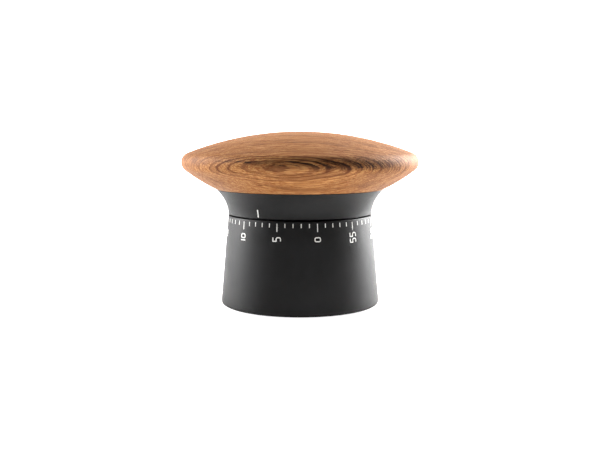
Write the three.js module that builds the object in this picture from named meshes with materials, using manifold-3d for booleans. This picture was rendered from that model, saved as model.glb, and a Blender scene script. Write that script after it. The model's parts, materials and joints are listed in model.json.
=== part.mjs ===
// A mechanical sixty-minute kitchen timer: a turned wooden cap on a flared collar turns on a
// conical housing that carries the dial. Inside the housing hangs a plate movement with a
// mainspring in a barrel, a going train with a pin escapement, and a striking train with a bell.
// Millimetres, +Z up, the origin on the surface that the timer stands on, under its axis.
// The front is -Y. Angles are degrees, anticlockwise from +X as seen from above.

import * as THREE from 'three';
import { mergeVertices } from 'three/addons/utils/BufferGeometryUtils.js';
import Module from 'manifold-3d';

const wasm = await Module();
wasm.setup();

// ---------------------------------------------------------------- driving dimensions

const fitGap = 0.1; // between pieces that rest on each other or are pressed together
const runningGap = 0.15; // radial, round a shaft that turns
const levelGap = 0.45; // between a turning piece and the next one above it
const headGap = 0.3; // round a sunk screw's head
const shoulder = 0.2; // from an arbor's shoulder to the plate beside it

const dial = { zeroAngle: -77.1, degreesPerMinute: 6, restMinutes: 7.6, longestMinutes: 58.8 };

const train = {
  main: { module: 0.5, wheel: 50, pinion: 8 }, // great wheel, and the barrel's teeth
  second: { module: 0.35, wheel: 48, pinion: 8 },
  third: { module: 0.3, wheel: 48, pinion: 8 },
};
const escapement = { teeth: 16, radius: 4.5, toothDepth: 1.1, gap: 1.45, height: 0.8 };
const star = { teeth: 12, radius: 6.5, toothDepth: 1.5 };
const ratchet = { teeth: 24, radius: 5, toothDepth: 0.7 };

const balance = { distance: 6.3, outwards: 1, radius: 3.8, thickness: 1.2 };
const balancePin = { orbit: 1.35, radius: 0.3, angle: 52 };
const hammer = { distance: 9.4, outwards: 1, pinOrbit: 5, pinRadius: 0.35, pinAngle: 53 };
const hammerHead = { radius: 2, height: 3, gap: 1.05, sweep: 28 };
const hammerArm = { width: 1.2, thickness: 0.9, lift: 2.4 };
const hammerTail = { length: 6, width: 1.1, angle: 12 };
const cam = { radius: 5.5, notchDepth: 1.2, notchAngle: 26 };
const lever = { orbit: 12, angle: 300, noseSweep: 18, width: 1.1, eye: 1.7, stud: 0.7 };
const leverHook = { width: 0.8, gap: 2.5 };
const cock = { outwards: 2, reach: 6.4, foot: 1.8, thickness: 1 };
const click = { nose: 0.6, eye: 1.3, stud: 0.6, gap: 8 };
const clickSpring = { anchorAngle: 62, freeAngle: 14, reach: 2.2, thickness: 0.3, anchor: 0.9 };

const sheet = { wheel: 0.8, great: 1, ratchet: 1.2, cam: 1, lid: 0.6, flange: 1.2, drum: 0.9 };
const spring = { height: 4.6, thickness: 0.25, turns: 7 };
const shaft = { main: 2, train: 0.8, pivot: 0.5, mainPivot: 1.2 };
const pinionOverhang = 0.3; // how far a pinion stands past its wheel, above and below

const plate = { thickness: 1, margin: 0.2 };
const pillar = { radius: 2, inset: 2.65, threadDepth: 5.5, angles: [58, 178, 298] };
const screw = { head: 1.8, headHeight: 1, shank: 1, slotWidth: 0.5, slotDepth: 0.5 };

const bell = { radius: 22, depth: 6.8, wall: 0.8, corner: 2.5 };
const bellPost = { radius: 2.2, flange: 4, flangeHeight: 1, threadDepth: 4.2 };

const housing = { wall: 2, taper: 3.1, deck: 2.3, bore: 4.5, caseGap: 3.5, edge: 1.1 };
const housingBoss = { height: 4.35, radius: 3 };
const cover = { thickness: 1.6, recess: 0.6, slots: 8, slotInner: 6, slotOuter: 14, slotWidth: 1.8 };
const coverBoss = { radius: 3.2, height: 9, floor: 1.5, angles: [90, 210, 330] };
const foot = { radius: 3.4, proud: 1.1, recess: 0.5, orbit: 25, angles: [30, 150, 270] };
const seamGap = 0.6; // between the housing and the collar that turns above it
const seamRing = { height: 0.9, width: 1.2 }; // closes the gap to dust, inside the collar

const collar = { height: 9.7, flare: 4.6, wall: 2, web: 2.2, hub: 5.2, spigotInset: 4.6 };
const driveHub = { radius: 3.4, length: 7, flat: 1.4 };
const stop = { width: 1.2, length: 2.6, overlap: 1.6, gap: 0.4, angle: 108 };
const cap = { radius: 47.4, height: 22.9, rimHeight: 10.75, rimRadius: 4, underRadius: 70 };
const capSeat = { lip: 0.15, recess: 2.4, gap: 0.3 };
const capScrew = { orbit: 17, angles: [30, 150, 270], head: 2.6, headHeight: 1.4, shank: 1.5, length: 10 };

const roundSegments = 36; // for the case; small round pieces have fewer
const smallSegments = 12;
const pivotSegments = 8;

// ---------------------------------------------------------------- heights, from the table up

const housingBottom = 0.5;
const coverBottom = foot.proud;
const coverTop = coverBottom + cover.thickness;
const bellBottom = coverTop + levelGap + screw.headHeight + fitGap;
const bellTop = bellBottom + bell.depth;
const bottomPlateBottom = bellTop + levelGap + screw.headHeight + fitGap;
const bottomPlateTop = bottomPlateBottom + plate.thickness;
const barrelBottom = bottomPlateTop + levelGap;
const springBottom = barrelBottom + sheet.flange + fitGap;
const springTop = springBottom + spring.height;
const lidBottom = springTop + fitGap;
const barrelTop = lidBottom + sheet.lid;
const greatBottom = barrelTop + levelGap;
const greatTop = greatBottom + sheet.great;
const ratchetBottom = greatTop + runningGap;
const ratchetTop = ratchetBottom + sheet.ratchet;
const secondBottom = ratchetTop + levelGap;
const thirdBottom = secondBottom + sheet.wheel + pinionOverhang + levelGap;
const camBottom = thirdBottom + sheet.wheel + pinionOverhang + levelGap;
const camTop = camBottom + sheet.cam;
const topPlateBottom = camTop + levelGap;
const topPlateTop = topPlateBottom + plate.thickness;
const deckBottom = topPlateTop + fitGap + housingBoss.height;
const deckTop = deckBottom + housing.deck;
const collarBottom = deckTop + seamGap;
const collarTop = collarBottom + collar.height; // where the cap's lip meets the flare
const webTop = collarTop + capSeat.recess - fitGap;
const webBottom = webTop - collar.web;
const capBottom = collarTop + fitGap;
const capRim = capBottom + cap.rimHeight;
const capTop = capBottom + cap.height;

const escapeBottom = bottomPlateTop + levelGap + balance.thickness + escapement.height;
const cockBottom = escapeBottom + sheet.wheel + levelGap;
const hammerArmBottom = bellBottom + bell.wall + hammerArm.lift;

// ---------------------------------------------------------------- plan, from the axis outwards

const radians = THREE.MathUtils.degToRad;
const polar = (radius, angle) =>
  new THREE.Vector2(radius * Math.cos(radians(angle)), radius * Math.sin(radians(angle)));
const bearing = (from, to) => THREE.MathUtils.radToDeg(Math.atan2(to.y - from.y, to.x - from.x));
const pitchRadius = (gear, teeth) => (gear.module * teeth) / 2;
const centreDistance = (gear) => pitchRadius(gear, gear.wheel + gear.pinion);
const tipRadius = (gear) => pitchRadius(gear, gear.wheel) + gear.module * 1.1;

// The angle at the axis between two points at radii a and b that stand d apart.
const spread = (a, b, d) =>
  THREE.MathUtils.radToDeg(Math.acos((a * a + b * b - d * d) / (2 * a * b)));

const trainOrbit = centreDistance(train.main);
const escapeOrbit = tipRadius(train.main) + escapement.radius + escapement.gap;
const balanceOrbit = escapeOrbit + balance.outwards;
const hammerOrbit = trainOrbit + hammer.outwards;

const secondAngle = 90;
const thirdAngle = secondAngle + spread(trainOrbit, trainOrbit, centreDistance(train.second));
const escapeAngle = thirdAngle + spread(trainOrbit, escapeOrbit, centreDistance(train.third));
const balanceAngle = escapeAngle - spread(escapeOrbit, balanceOrbit, balance.distance);
const cockOrbit = escapeOrbit + cock.outwards;
const cockAngle = balanceAngle - spread(balanceOrbit, cockOrbit, cock.reach);
const strikeAngle = 228;
const hammerAngle = strikeAngle + spread(trainOrbit, hammerOrbit, hammer.distance);

const axis = new THREE.Vector2(0, 0);
const at = {
  second: polar(trainOrbit, secondAngle),
  third: polar(trainOrbit, thirdAngle),
  escape: polar(escapeOrbit, escapeAngle),
  balance: polar(balanceOrbit, balanceAngle),
  strike: polar(trainOrbit, strikeAngle),
  hammer: polar(hammerOrbit, hammerAngle),
  lever: polar(lever.orbit, lever.angle),
  cock: polar(cockOrbit, cockAngle),
};

const plateRadius = trainOrbit + tipRadius(train.second) + plate.margin;
const pillarOrbit = plateRadius - pillar.inset;
const waistRadius = plateRadius + housing.caseGap + housing.wall;
const baseRadius = waistRadius + housing.taper;
const seamRadius = waistRadius + collar.flare;
const coverBossOrbit = baseRadius - housing.wall - coverBoss.radius + 0.15;

const markAngle = dial.zeroAngle - dial.restMinutes * dial.degreesPerMinute;
const stopOuter = waistRadius - collar.wall - stop.gap;
const halfStop = THREE.MathUtils.radToDeg(stop.width / (stopOuter - stop.length));
const stopSlack = (360 - dial.longestMinutes * dial.degreesPerMinute) / 2 - halfStop;
const tabAngle = stop.angle - halfStop - stopSlack - dial.restMinutes * dial.degreesPerMinute;

// ---------------------------------------------------------------- geometry helpers

// A closed geometry as a manifold-3d solid.
function solid(geometry) {
  const bare = new THREE.BufferGeometry();
  bare.setAttribute('position', geometry.getAttribute('position').clone());
  if (geometry.index) bare.setIndex(geometry.index.clone());
  const merged = mergeVertices(bare, 1e-4);
  return new wasm.Manifold(
    new wasm.Mesh({
      numProp: 3,
      vertProperties: merged.attributes.position.array,
      triVerts: new Uint32Array(merged.index.array),
    }),
  );
}

function geometryOf(body) {
  const mesh = body.getMesh();
  const geometry = new THREE.BufferGeometry();
  geometry.setAttribute('position', new THREE.BufferAttribute(mesh.vertProperties, 3));
  geometry.setIndex(new THREE.BufferAttribute(mesh.triVerts, 1));
  geometry.computeVertexNormals();
  return geometry;
}

const join = (first, ...others) =>
  geometryOf(others.reduce((whole, next) => whole.add(solid(next)), solid(first)));
const cut = (first, ...tools) =>
  geometryOf(tools.reduce((whole, tool) => whole.subtract(solid(tool)), solid(first)));

// A profile of [radius, height] pairs turned about +Z. Either end on the axis is closed there.
function turned(profile, segments = smallSegments) {
  const area = profile.reduce((sum, [r, z], i) => {
    const [nextR, nextZ] = profile[(i + 1) % profile.length];
    return sum + r * nextZ - nextR * z;
  }, 0);
  const ordered = area > 0 ? profile : [...profile].reverse();
  const points = ordered.map(([r, z]) => new THREE.Vector2(r, z));
  const onAxis = points[0].x === 0 && points[points.length - 1].x === 0;
  if (!onAxis) points.push(points[0].clone());
  return new THREE.LatheGeometry(points, segments).rotateX(Math.PI / 2);
}

const cylinder = (radius, bottom, top, segments = smallSegments) =>
  new THREE.CylinderGeometry(radius, radius, top - bottom, segments)
    .rotateX(Math.PI / 2)
    .translate(0, 0, (bottom + top) / 2);

const box = (x, y, z, bottom) => new THREE.BoxGeometry(x, y, z).translate(0, 0, bottom + z / 2);

const moved = (geometry, point, angle = 0) =>
  geometry.rotateZ(radians(angle)).translate(point.x, point.y, 0);

// Points of an arc about a centre, as [radius, height] pairs, both ends included.
function arc(centreR, centreZ, radius, from, to, steps) {
  return Array.from({ length: steps + 1 }, (_, i) => {
    const angle = from + ((to - from) * i) / steps;
    return [centreR + radius * Math.cos(angle), centreZ + radius * Math.sin(angle)];
  });
}

function circlePath(x, y, radius, segments = smallSegments) {
  const path = new THREE.Path();
  for (let i = 0; i < segments; i++) {
    const angle = (2 * Math.PI * i) / segments;
    path[i ? 'lineTo' : 'moveTo'](x + radius * Math.cos(angle), y + radius * Math.sin(angle));
  }
  return path;
}

const outline = (points) => new THREE.Shape(points.map(([x, y]) => new THREE.Vector2(x, y)));
const disc = (radius, segments) => outline(arc(0, 0, radius, 0, 2 * Math.PI, segments).slice(1));

// A flat outline with its holes, raised from bottom to top.
function flat(shape, bottom, top, holes = []) {
  shape.holes.push(...holes);
  return new THREE.ExtrudeGeometry(shape, { depth: top - bottom, bevelEnabled: false, curveSegments: 6 })
    .translate(0, 0, bottom);
}

// A straight bar with round ends from one point to another.
function bar(from, to, width, steps = 5) {
  const heading = Math.atan2(to.y - from.y, to.x - from.x);
  const end = (point, start) =>
    arc(point.x, point.y, width / 2, heading + start, heading + start + Math.PI, steps);
  return outline([...end(to, -Math.PI / 2), ...end(from, Math.PI / 2)]);
}

// ---------------------------------------------------------------- gear outlines

// A toothed outline: each tooth is a list of [radius, share of the half pitch], mirrored.
function toothed(teeth, flank) {
  const points = [];
  for (let i = 0; i < teeth; i++) {
    const centre = (2 * Math.PI * i) / teeth;
    const half = Math.PI / teeth;
    flank.forEach(([r, s]) => points.push([r, centre - s * half]));
    [...flank].reverse().forEach(([r, s]) => points.push([r, centre + s * half]));
  }
  return outline(points.map(([r, a]) => [r * Math.cos(a), r * Math.sin(a)]));
}

// A wheel's tooth narrows from root to tip. A tooth's centre lies on +X.
function wheelOutline(gear) {
  const pitch = pitchRadius(gear, gear.wheel);
  return toothed(gear.wheel, [
    [pitch - 1.25 * gear.module, 0.6],
    [pitch + 1.1 * gear.module, 0.2],
  ]);
}

// A pinion's leaf has radial flanks and a rounded tip. A gap's centre is turned to +X.
function pinionOutline(gear) {
  const pitch = pitchRadius(gear, gear.pinion);
  const { module } = gear;
  return toothed(gear.pinion, [
    [pitch - 1.4 * module, 0.28],
    [pitch + 0.6 * module, 0.2],
  ]);
}

// Pointed teeth that lean one way, for the ratchet, the escape wheel and the star wheel.
function pointed(teeth, tip, depth, lean) {
  const points = [];
  for (let i = 0; i < teeth; i++) {
    const centre = (2 * Math.PI * i) / teeth;
    const half = Math.PI / teeth;
    points.push([tip - depth, centre - half * (0.55 + lean)]);
    points.push([tip, centre - half * 0.1]);
    points.push([tip, centre + half * 0.1]);
    points.push([tip - depth, centre + half * (0.55 - lean)]);
  }
  return outline(points.map(([r, a]) => [r * Math.cos(a), r * Math.sin(a)]));
}

// Windows between the spokes of a wheel.
function windows(count, inner, outer, spoke) {
  return Array.from({ length: count }, (_, i) => {
    const middle = (2 * Math.PI * (i + 0.5)) / count;
    const reach = Math.PI / count;
    const far = arc(0, 0, outer, middle - reach + spoke / outer, middle + reach - spoke / outer, 3);
    const near = arc(0, 0, inner, middle + reach - spoke / inner, middle - reach + spoke / inner, 2);
    return new THREE.Path([...far, ...near].map(([x, y]) => new THREE.Vector2(x, y)));
  });
}

const bore = (radius, segments = smallSegments) => circlePath(0, 0, radius, segments);

// ---------------------------------------------------------------- assembly

const timer = new THREE.Group();

const finish = {
  wood: new THREE.MeshStandardMaterial({ color: 0xb98254, roughness: 0.55, metalness: 0 }),
  black: new THREE.MeshStandardMaterial({ color: 0x1d1d1e, roughness: 0.6, metalness: 0 }),
  rubber: new THREE.MeshStandardMaterial({ color: 0x161616, roughness: 0.9, metalness: 0 }),
  steel: new THREE.MeshStandardMaterial({ color: 0xa9abae, roughness: 0.35, metalness: 1 }),
  brass: new THREE.MeshStandardMaterial({ color: 0xc9a554, roughness: 0.32, metalness: 1 }),
  bell: new THREE.MeshStandardMaterial({ color: 0xd5d5d2, roughness: 0.15, metalness: 1 }),
  spring: new THREE.MeshStandardMaterial({ color: 0x47505f, roughness: 0.3, metalness: 1 }),
};

function place(group, name, geometry, material) {
  const mesh = new THREE.Mesh(geometry, material);
  mesh.name = name;
  group.add(mesh);
  return mesh;
}

// A group that stands on a point of the plan, turned about its own upright axis.
function stand(point, angle = 0) {
  const group = new THREE.Group();
  group.position.set(point.x, point.y, 0);
  group.rotation.z = radians(angle);
  timer.add(group);
  return group;
}

const caseParts = stand(axis);
const movement = stand(axis);
const knob = stand(axis);

// ---------------------------------------------------------------- housing and base

const wallRadius = (z) =>
  waistRadius + (housing.taper * (deckTop - z)) / (deckTop - housingBottom);

function housingGeometry() {
  const inner = (z) => wallRadius(z) - housing.wall;
  const { edge } = housing;
  const shell = turned(
    [
      [inner(housingBottom), housingBottom],
      [wallRadius(housingBottom) - edge, housingBottom],
      [wallRadius(housingBottom) - edge * 0.3, housingBottom + edge * 0.3],
      [wallRadius(housingBottom + edge), housingBottom + edge],
      [wallRadius(deckTop) - 0.1, deckTop - 0.4],
      [wallRadius(deckTop) - 0.5, deckTop],
      [stopOuter, deckTop],
      [stopOuter, deckTop + seamRing.height],
      [stopOuter - seamRing.width, deckTop + seamRing.height],
      [stopOuter - seamRing.width, deckTop],
      [housing.bore, deckTop],
      [housing.bore, deckBottom],
      [inner(deckBottom), deckBottom],
    ],
    roundSegments,
  );
  const bosses = pillar.angles.map((angle) =>
    moved(cylinder(housingBoss.radius, topPlateTop + fitGap, deckBottom + 0.5), polar(pillarOrbit, angle)));
  const feetBosses = coverBoss.angles.map((angle) =>
    moved(
      cylinder(coverBoss.radius, coverTop + fitGap, coverTop + coverBoss.height),
      polar(coverBossOrbit, angle),
    ));
  const ribHeight = seamRing.height + levelGap + stop.overlap;
  const rib = box(stop.length, stop.width, ribHeight + 0.5, deckTop - 0.5);
  const stopRib = moved(rib, polar(stopOuter - stop.length / 2, stop.angle), stop.angle);
  const tools = pillar.angles.flatMap((angle) => [
    moved(cylinder(screw.shank + fitGap, topPlateTop, deckTop + 1), polar(pillarOrbit, angle)),
    moved(
      cylinder(screw.head + headGap, deckTop - screw.headHeight - 0.5, deckTop + 1),
      polar(pillarOrbit, angle),
    ),
  ]);
  const feetHoles = coverBoss.angles.map((angle) =>
    moved(
      cylinder(screw.shank + fitGap, coverTop, coverTop + coverBoss.height - coverBoss.floor),
      polar(coverBossOrbit, angle),
    ));
  return cut(join(shell, ...bosses, ...feetBosses, stopRib), ...tools, ...feetHoles);
}

place(caseParts, 'housing', housingGeometry(), finish.black);

function coverGeometry() {
  const radius = wallRadius(coverBottom) - housing.wall - headGap;
  const slots = Array.from({ length: cover.slots }, (_, i) => {
    const angle = (360 * i) / cover.slots;
    return new THREE.Path(
      bar(polar(cover.slotInner, angle), polar(cover.slotOuter, angle), cover.slotWidth, 3).getPoints(),
    );
  });
  const slotted = flat(disc(radius, roundSegments), coverBottom, coverTop, slots);
  const screwHoles = coverBoss.angles.flatMap((angle) => [
    moved(cylinder(screw.shank + fitGap, 0, coverTop + 1), polar(coverBossOrbit, angle)),
    moved(cylinder(screw.head + headGap, 0, coverBottom + cover.recess), polar(coverBossOrbit, angle)),
  ]);
  const footSeats = foot.angles.map((angle) =>
    moved(cylinder(foot.radius + fitGap, 0, coverBottom + foot.recess, 20), polar(foot.orbit, angle)));
  return cut(slotted, ...screwHoles, ...footSeats);
}

place(caseParts, 'base_cover', coverGeometry(), finish.black);

foot.angles.forEach((angle, i) => {
  const top = coverBottom + foot.recess - fitGap;
  const pad = turned([[0, 0], [foot.radius - 0.3, 0], [foot.radius, 0.3], [foot.radius, top], [0, top]], 20);
  place(stand(polar(foot.orbit, angle)), `foot_pad_${i + 1}`, pad, finish.rubber);
});

// ---------------------------------------------------------------- screws

// A screw with its head on top and a cross or single slot in it, its seat at height zero.
function screwGeometry({ head, headHeight, shank, length, cross }) {
  const body = turned([
    [0, -length], [shank * 0.5, -length], [shank, -length + shank], [shank, 0],
    [head, 0], [head, headHeight], [0, headHeight],
  ], 10);
  const slot = () => box(head * 1.1, screw.slotWidth, headHeight, headHeight - screw.slotDepth);
  return cross ? cut(body, slot(), slot().rotateZ(Math.PI / 2)) : cut(body, slot().scale(1.3, 1, 1));
}

// Screws on a circle. Upwards ones come from below, with their heads down.
function screwCircle(group, name, { orbit, angles, seat, upwards, size, material = finish.steel }) {
  angles.forEach((angle, i) => {
    const mesh = place(group, `${name}_${i + 1}`, screwGeometry(size), material);
    const point = polar(orbit, angle);
    mesh.position.set(point.x, point.y, seat);
    mesh.rotation.set(upwards ? Math.PI : 0, 0, radians(angle * 2));
  });
}

screwCircle(caseParts, 'cover_screw', {
  orbit: coverBossOrbit,
  angles: coverBoss.angles,
  seat: coverBottom + cover.recess - fitGap,
  upwards: true,
  size: { ...screw, headHeight: 0.6, length: 7, cross: true },
});
screwCircle(movement, 'movement_screw', {
  orbit: pillarOrbit,
  angles: pillar.angles,
  seat: deckTop - screw.headHeight - 0.4,
  upwards: false,
  size: { ...screw, length: deckTop - screw.headHeight - topPlateBottom + 3 },
});
screwCircle(movement, 'plate_screw', {
  orbit: pillarOrbit,
  angles: pillar.angles,
  seat: bottomPlateBottom - fitGap,
  upwards: true,
  size: { ...screw, length: plate.thickness + 4 },
});

// ---------------------------------------------------------------- movement frame

const arborHole = (point) => circlePath(point.x, point.y, shaft.pivot + runningGap, pivotSegments);
const pillarHoles = () =>
  pillar.angles.map((angle) => {
    const point = polar(pillarOrbit, angle);
    return circlePath(point.x, point.y, screw.shank + fitGap, 10);
  });

place(
  movement,
  'top_plate',
  flat(disc(plateRadius, roundSegments), topPlateBottom, topPlateTop, [
    bore(shaft.main + runningGap),
    ...pillarHoles(),
    ...[at.second, at.third, at.escape, at.strike, at.hammer, at.lever].map(arborHole),
  ]),
  finish.steel,
);
place(
  movement,
  'bottom_plate',
  flat(disc(plateRadius, roundSegments), bottomPlateBottom, bottomPlateTop, [
    bore(bellPost.radius + fitGap),
    ...pillarHoles(),
    ...[at.second, at.third, at.escape, at.balance, at.strike].map(arborHole),
    circlePath(at.hammer.x, at.hammer.y, shaft.train + runningGap, pivotSegments),
    circlePath(at.cock.x, at.cock.y, screw.shank + fitGap, 10),
  ]),
  finish.steel,
);

pillar.angles.forEach((angle, i) => {
  const bottom = bottomPlateTop + fitGap;
  const top = topPlateBottom - fitGap;
  const hole = screw.shank + fitGap;
  const post = turned([
    [0, bottom + pillar.threadDepth], [hole, bottom + pillar.threadDepth],
    [hole, bottom], [pillar.radius, bottom], [pillar.radius, top], [hole, top],
    [hole, top - pillar.threadDepth], [0, top - pillar.threadDepth],
  ]);
  place(stand(polar(pillarOrbit, angle)), `pillar_${i + 1}`, post, finish.steel);
});

// The post that carries the bell, with the main arbor's lower bearing in its top.
function bellPostGeometry() {
  const { radius, flange, flangeHeight, threadDepth } = bellPost;
  const bearingHole = shaft.mainPivot + fitGap;
  const thread = screw.shank + fitGap;
  const flangeTop = bottomPlateBottom - fitGap;
  const foot = bellBottom + bell.wall + fitGap;
  return turned([
    [0, foot + threadDepth], [thread, foot + threadDepth], [thread, foot], [radius, foot],
    [radius, flangeTop - flangeHeight], [flange, flangeTop - flangeHeight], [flange, flangeTop],
    [radius, flangeTop], [radius, bottomPlateTop], [bearingHole, bottomPlateTop],
    [bearingHole, bottomPlateBottom - levelGap], [0, bottomPlateBottom - levelGap],
  ]);
}

place(movement, 'bell_post', bellPostGeometry(), finish.steel);

// An open cup, its mouth up, with a rounded corner between floor and wall.
function bellGeometry() {
  const { radius, wall, corner } = bell;
  const hole = screw.shank + headGap;
  const outer = arc(radius - corner, bellBottom + corner, corner, -Math.PI / 2, 0, 4);
  const inner = arc(radius - corner, bellBottom + corner, corner - wall, 0, -Math.PI / 2, 4);
  return turned(
    [
      [hole, bellBottom], ...outer, [radius, bellTop],
      [radius - wall, bellTop], ...inner, [hole, bellBottom + wall],
    ],
    roundSegments,
  );
}

place(movement, 'bell', bellGeometry(), finish.bell);

const bellScrewSize = { ...screw, head: 2.6, length: bellPost.threadDepth + 0.2 };
const bellScrew = place(movement, 'bell_screw', screwGeometry(bellScrewSize), finish.steel);
bellScrew.position.z = bellBottom - fitGap;
bellScrew.rotation.x = Math.PI;

// The bracket that holds the balance's upper pivot.
function cockGeometry() {
  const top = cockBottom + cock.thickness;
  const arm = flat(bar(at.cock, at.balance, 2 * cock.foot), cockBottom, top, [
    circlePath(at.balance.x, at.balance.y, shaft.pivot + runningGap, pivotSegments),
  ]);
  const leg = moved(cylinder(cock.foot, bottomPlateTop + fitGap, top), at.cock);
  return cut(join(arm, leg), moved(cylinder(screw.shank + fitGap, 0, top + 1), at.cock));
}

place(movement, 'balance_cock', cockGeometry(), finish.brass);

const cockScrew = place(
  stand(at.cock),
  'cock_screw',
  screwGeometry({ ...screw, length: cockBottom + cock.thickness - bottomPlateBottom }),
  finish.steel,
);
cockScrew.position.z = cockBottom + cock.thickness + fitGap;

// ---------------------------------------------------------------- collar and cap, the knob

function collarGeometry() {
  const { wall, flare, hub } = collar;
  const steps = 6;
  const curve = Array.from({ length: steps + 1 }, (_, i) => {
    const rise = i / steps;
    return [waistRadius + flare * rise * rise, collarBottom + collar.height * rise];
  });
  const spigot = seamRadius - collar.spigotInset;
  const innerWall = waistRadius - wall;
  const hubBore = driveHub.radius + fitGap;
  const hubBottom = webBottom - driveHub.length - 1;
  const shell = turned(
    [
      [innerWall, collarBottom], ...curve, [spigot, collarTop], [spigot, webTop], [0, webTop],
      [0, webBottom - 0.5], [hubBore, webBottom - 0.5], [hubBore, hubBottom], [hub, hubBottom],
      [hub, webBottom], [innerWall, webBottom],
    ],
    roundSegments,
  );
  const tabHeight = webBottom - deckTop - seamRing.height - levelGap;
  const tab = moved(
    box(stop.length + stop.gap + 0.6, stop.width, tabHeight + 0.4, webBottom - tabHeight),
    polar(stopOuter - stop.length / 2 + (stop.gap + 0.6) / 2, tabAngle),
    tabAngle,
  );
  const holes = capScrew.angles.map((angle) =>
    moved(cylinder(capScrew.shank + fitGap, webBottom - 1, webTop + 1), polar(capScrew.orbit, angle)));
  return cut(join(shell, tab), ...holes);
}

place(knob, 'collar', collarGeometry(), finish.black);

// A lens: a shallow dome, a rounded rim and a gently curved underside, all tangent, with a
// recess below for the collar's spigot.
function capProfile() {
  const { radius, rimRadius, underRadius } = cap;
  const rimCentre = radius - rimRadius;
  const rise = capTop - capRim;
  const domeRadius = (rimCentre ** 2 + rise ** 2 - rimRadius ** 2) / (2 * (rise - rimRadius));
  const domeCentre = capTop - domeRadius;
  const domeEnd = Math.atan2(capRim - domeCentre, rimCentre);
  const lipRadius = seamRadius + capSeat.lip;

  // The underside's centre stands rimRadius nearer the rim's centre than the lip's edge.
  const across = rimCentre - lipRadius;
  const up = capRim - capBottom;
  const apart = Math.hypot(across, up);
  const toRim = underRadius - rimRadius;
  const along = (apart ** 2 + underRadius ** 2 - toRim ** 2) / (2 * apart);
  const off = Math.sqrt(underRadius ** 2 - along ** 2);
  const underR = lipRadius + (along * across - off * up) / apart;
  const underZ = capBottom + (along * up + off * across) / apart;
  const underStart = Math.atan2(capRim - underZ, rimCentre - underR);
  const underEnd = Math.atan2(capBottom - underZ, lipRadius - underR);

  const dome = arc(0, domeCentre, domeRadius, Math.PI / 2, domeEnd, 6);
  const rim = arc(rimCentre, capRim, rimRadius, domeEnd, underStart, 6).slice(1);
  const under = arc(underR, underZ, underRadius, underStart, underEnd, 3).slice(1);
  return [[0, capTop], ...dome.slice(1), ...rim, ...under];
}

const capPocket = seamRadius - collar.spigotInset + capSeat.gap;
const capFloor = collarTop + capSeat.recess;

function capGeometry() {
  const lens = turned(
    [...capProfile(), [capPocket, capBottom], [capPocket, capFloor], [0, capFloor]],
    roundSegments,
  );
  const pilots = capScrew.angles.map((angle) =>
    moved(
      cylinder(capScrew.shank + fitGap, capFloor - 1, webBottom + capScrew.length + 0.4, 12),
      polar(capScrew.orbit, angle),
    ));
  return cut(lens, ...pilots);
}

place(knob, 'wood_cap', capGeometry(), finish.wood);

screwCircle(knob, 'cap_screw', {
  orbit: capScrew.orbit,
  angles: capScrew.angles,
  seat: webBottom - fitGap,
  upwards: true,
  size: { ...capScrew, cross: true },
});

// A round outline with one flat, for the arbor's end and the hole that it drives.
function flatted(radius, flatAt) {
  const reach = Math.acos(flatAt / radius);
  return outline(arc(0, 0, radius, reach, 2 * Math.PI - reach, 14));
}

place(
  knob,
  'drive_hub',
  flat(disc(driveHub.radius, 24), webBottom - driveHub.length - 0.5, webBottom - 0.6, [
    new THREE.Path(flatted(shaft.main + fitGap, driveHub.flat + fitGap).getPoints()),
  ]),
  finish.brass,
);

function mainArborGeometry() {
  const flatFrom = webBottom - driveHub.length - 1;
  const round = turned([
    [0, bottomPlateBottom - 0.1], [shaft.mainPivot, bottomPlateBottom - 0.1],
    [shaft.mainPivot, bottomPlateTop + 0.2], [shaft.main, bottomPlateTop + 0.2],
    [shaft.main, flatFrom], [0, flatFrom],
  ]);
  return join(round, flat(flatted(shaft.main, driveHub.flat), flatFrom - 0.2, webBottom - 0.9));
}

place(knob, 'main_arbor', mainArborGeometry(), finish.steel);
place(
  knob,
  'ratchet_wheel',
  flat(pointed(ratchet.teeth, ratchet.radius, ratchet.toothDepth, 0.45), ratchetBottom, ratchetTop, [
    bore(shaft.main + fitGap),
  ]),
  finish.steel,
);

// A disc with one notch, into which the release lever drops when the time is up.
function camGeometry() {
  const half = radians(cam.notchAngle / 2);
  const rim = arc(0, 0, cam.radius, half, 2 * Math.PI - half, 30);
  const notch = arc(0, 0, cam.radius - cam.notchDepth, -half * 0.7, half * 0.7, 3);
  return flat(outline([...rim, ...notch]), camBottom, camTop, [bore(shaft.main + fitGap)]);
}

const leverNoseAngle = lever.angle + lever.noseSweep;
const camTurn = stand(axis, leverNoseAngle - dial.restMinutes * dial.degreesPerMinute);
place(camTurn, 'release_cam', camGeometry(), finish.steel);

// ---------------------------------------------------------------- going train

// An arbor with pivots at both ends and, where a gear is given, a pinion cut from the same rod.
function arborGeometry(bottom, top, gear, pinionBottom, pinionTop) {
  const { pivot, train: body } = shaft;
  const rod = turned([
    [0, bottom - plate.thickness + shoulder], [pivot, bottom - plate.thickness + shoulder],
    [pivot, bottom + shoulder], [body, bottom + shoulder], [body, top - shoulder], [pivot, top - shoulder],
    [pivot, top + plate.thickness - shoulder], [0, top + plate.thickness - shoulder],
  ], pivotSegments);
  return gear ? join(rod, flat(pinionOutline(gear), pinionBottom, pinionTop)) : rod;
}

const halfPitch = (teeth) => 180 / teeth;

// The great wheel faces the second arbor with a tooth, and carries the click.
const great = stand(axis, secondAngle);
place(
  great,
  'great_wheel',
  flat(wheelOutline(train.main), greatBottom, greatTop, [
    bore(shaft.main + runningGap),
    ...windows(5, 4.4, pitchRadius(train.main, train.main.wheel) - 2.6, 0.9),
  ]),
  finish.brass,
);

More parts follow.
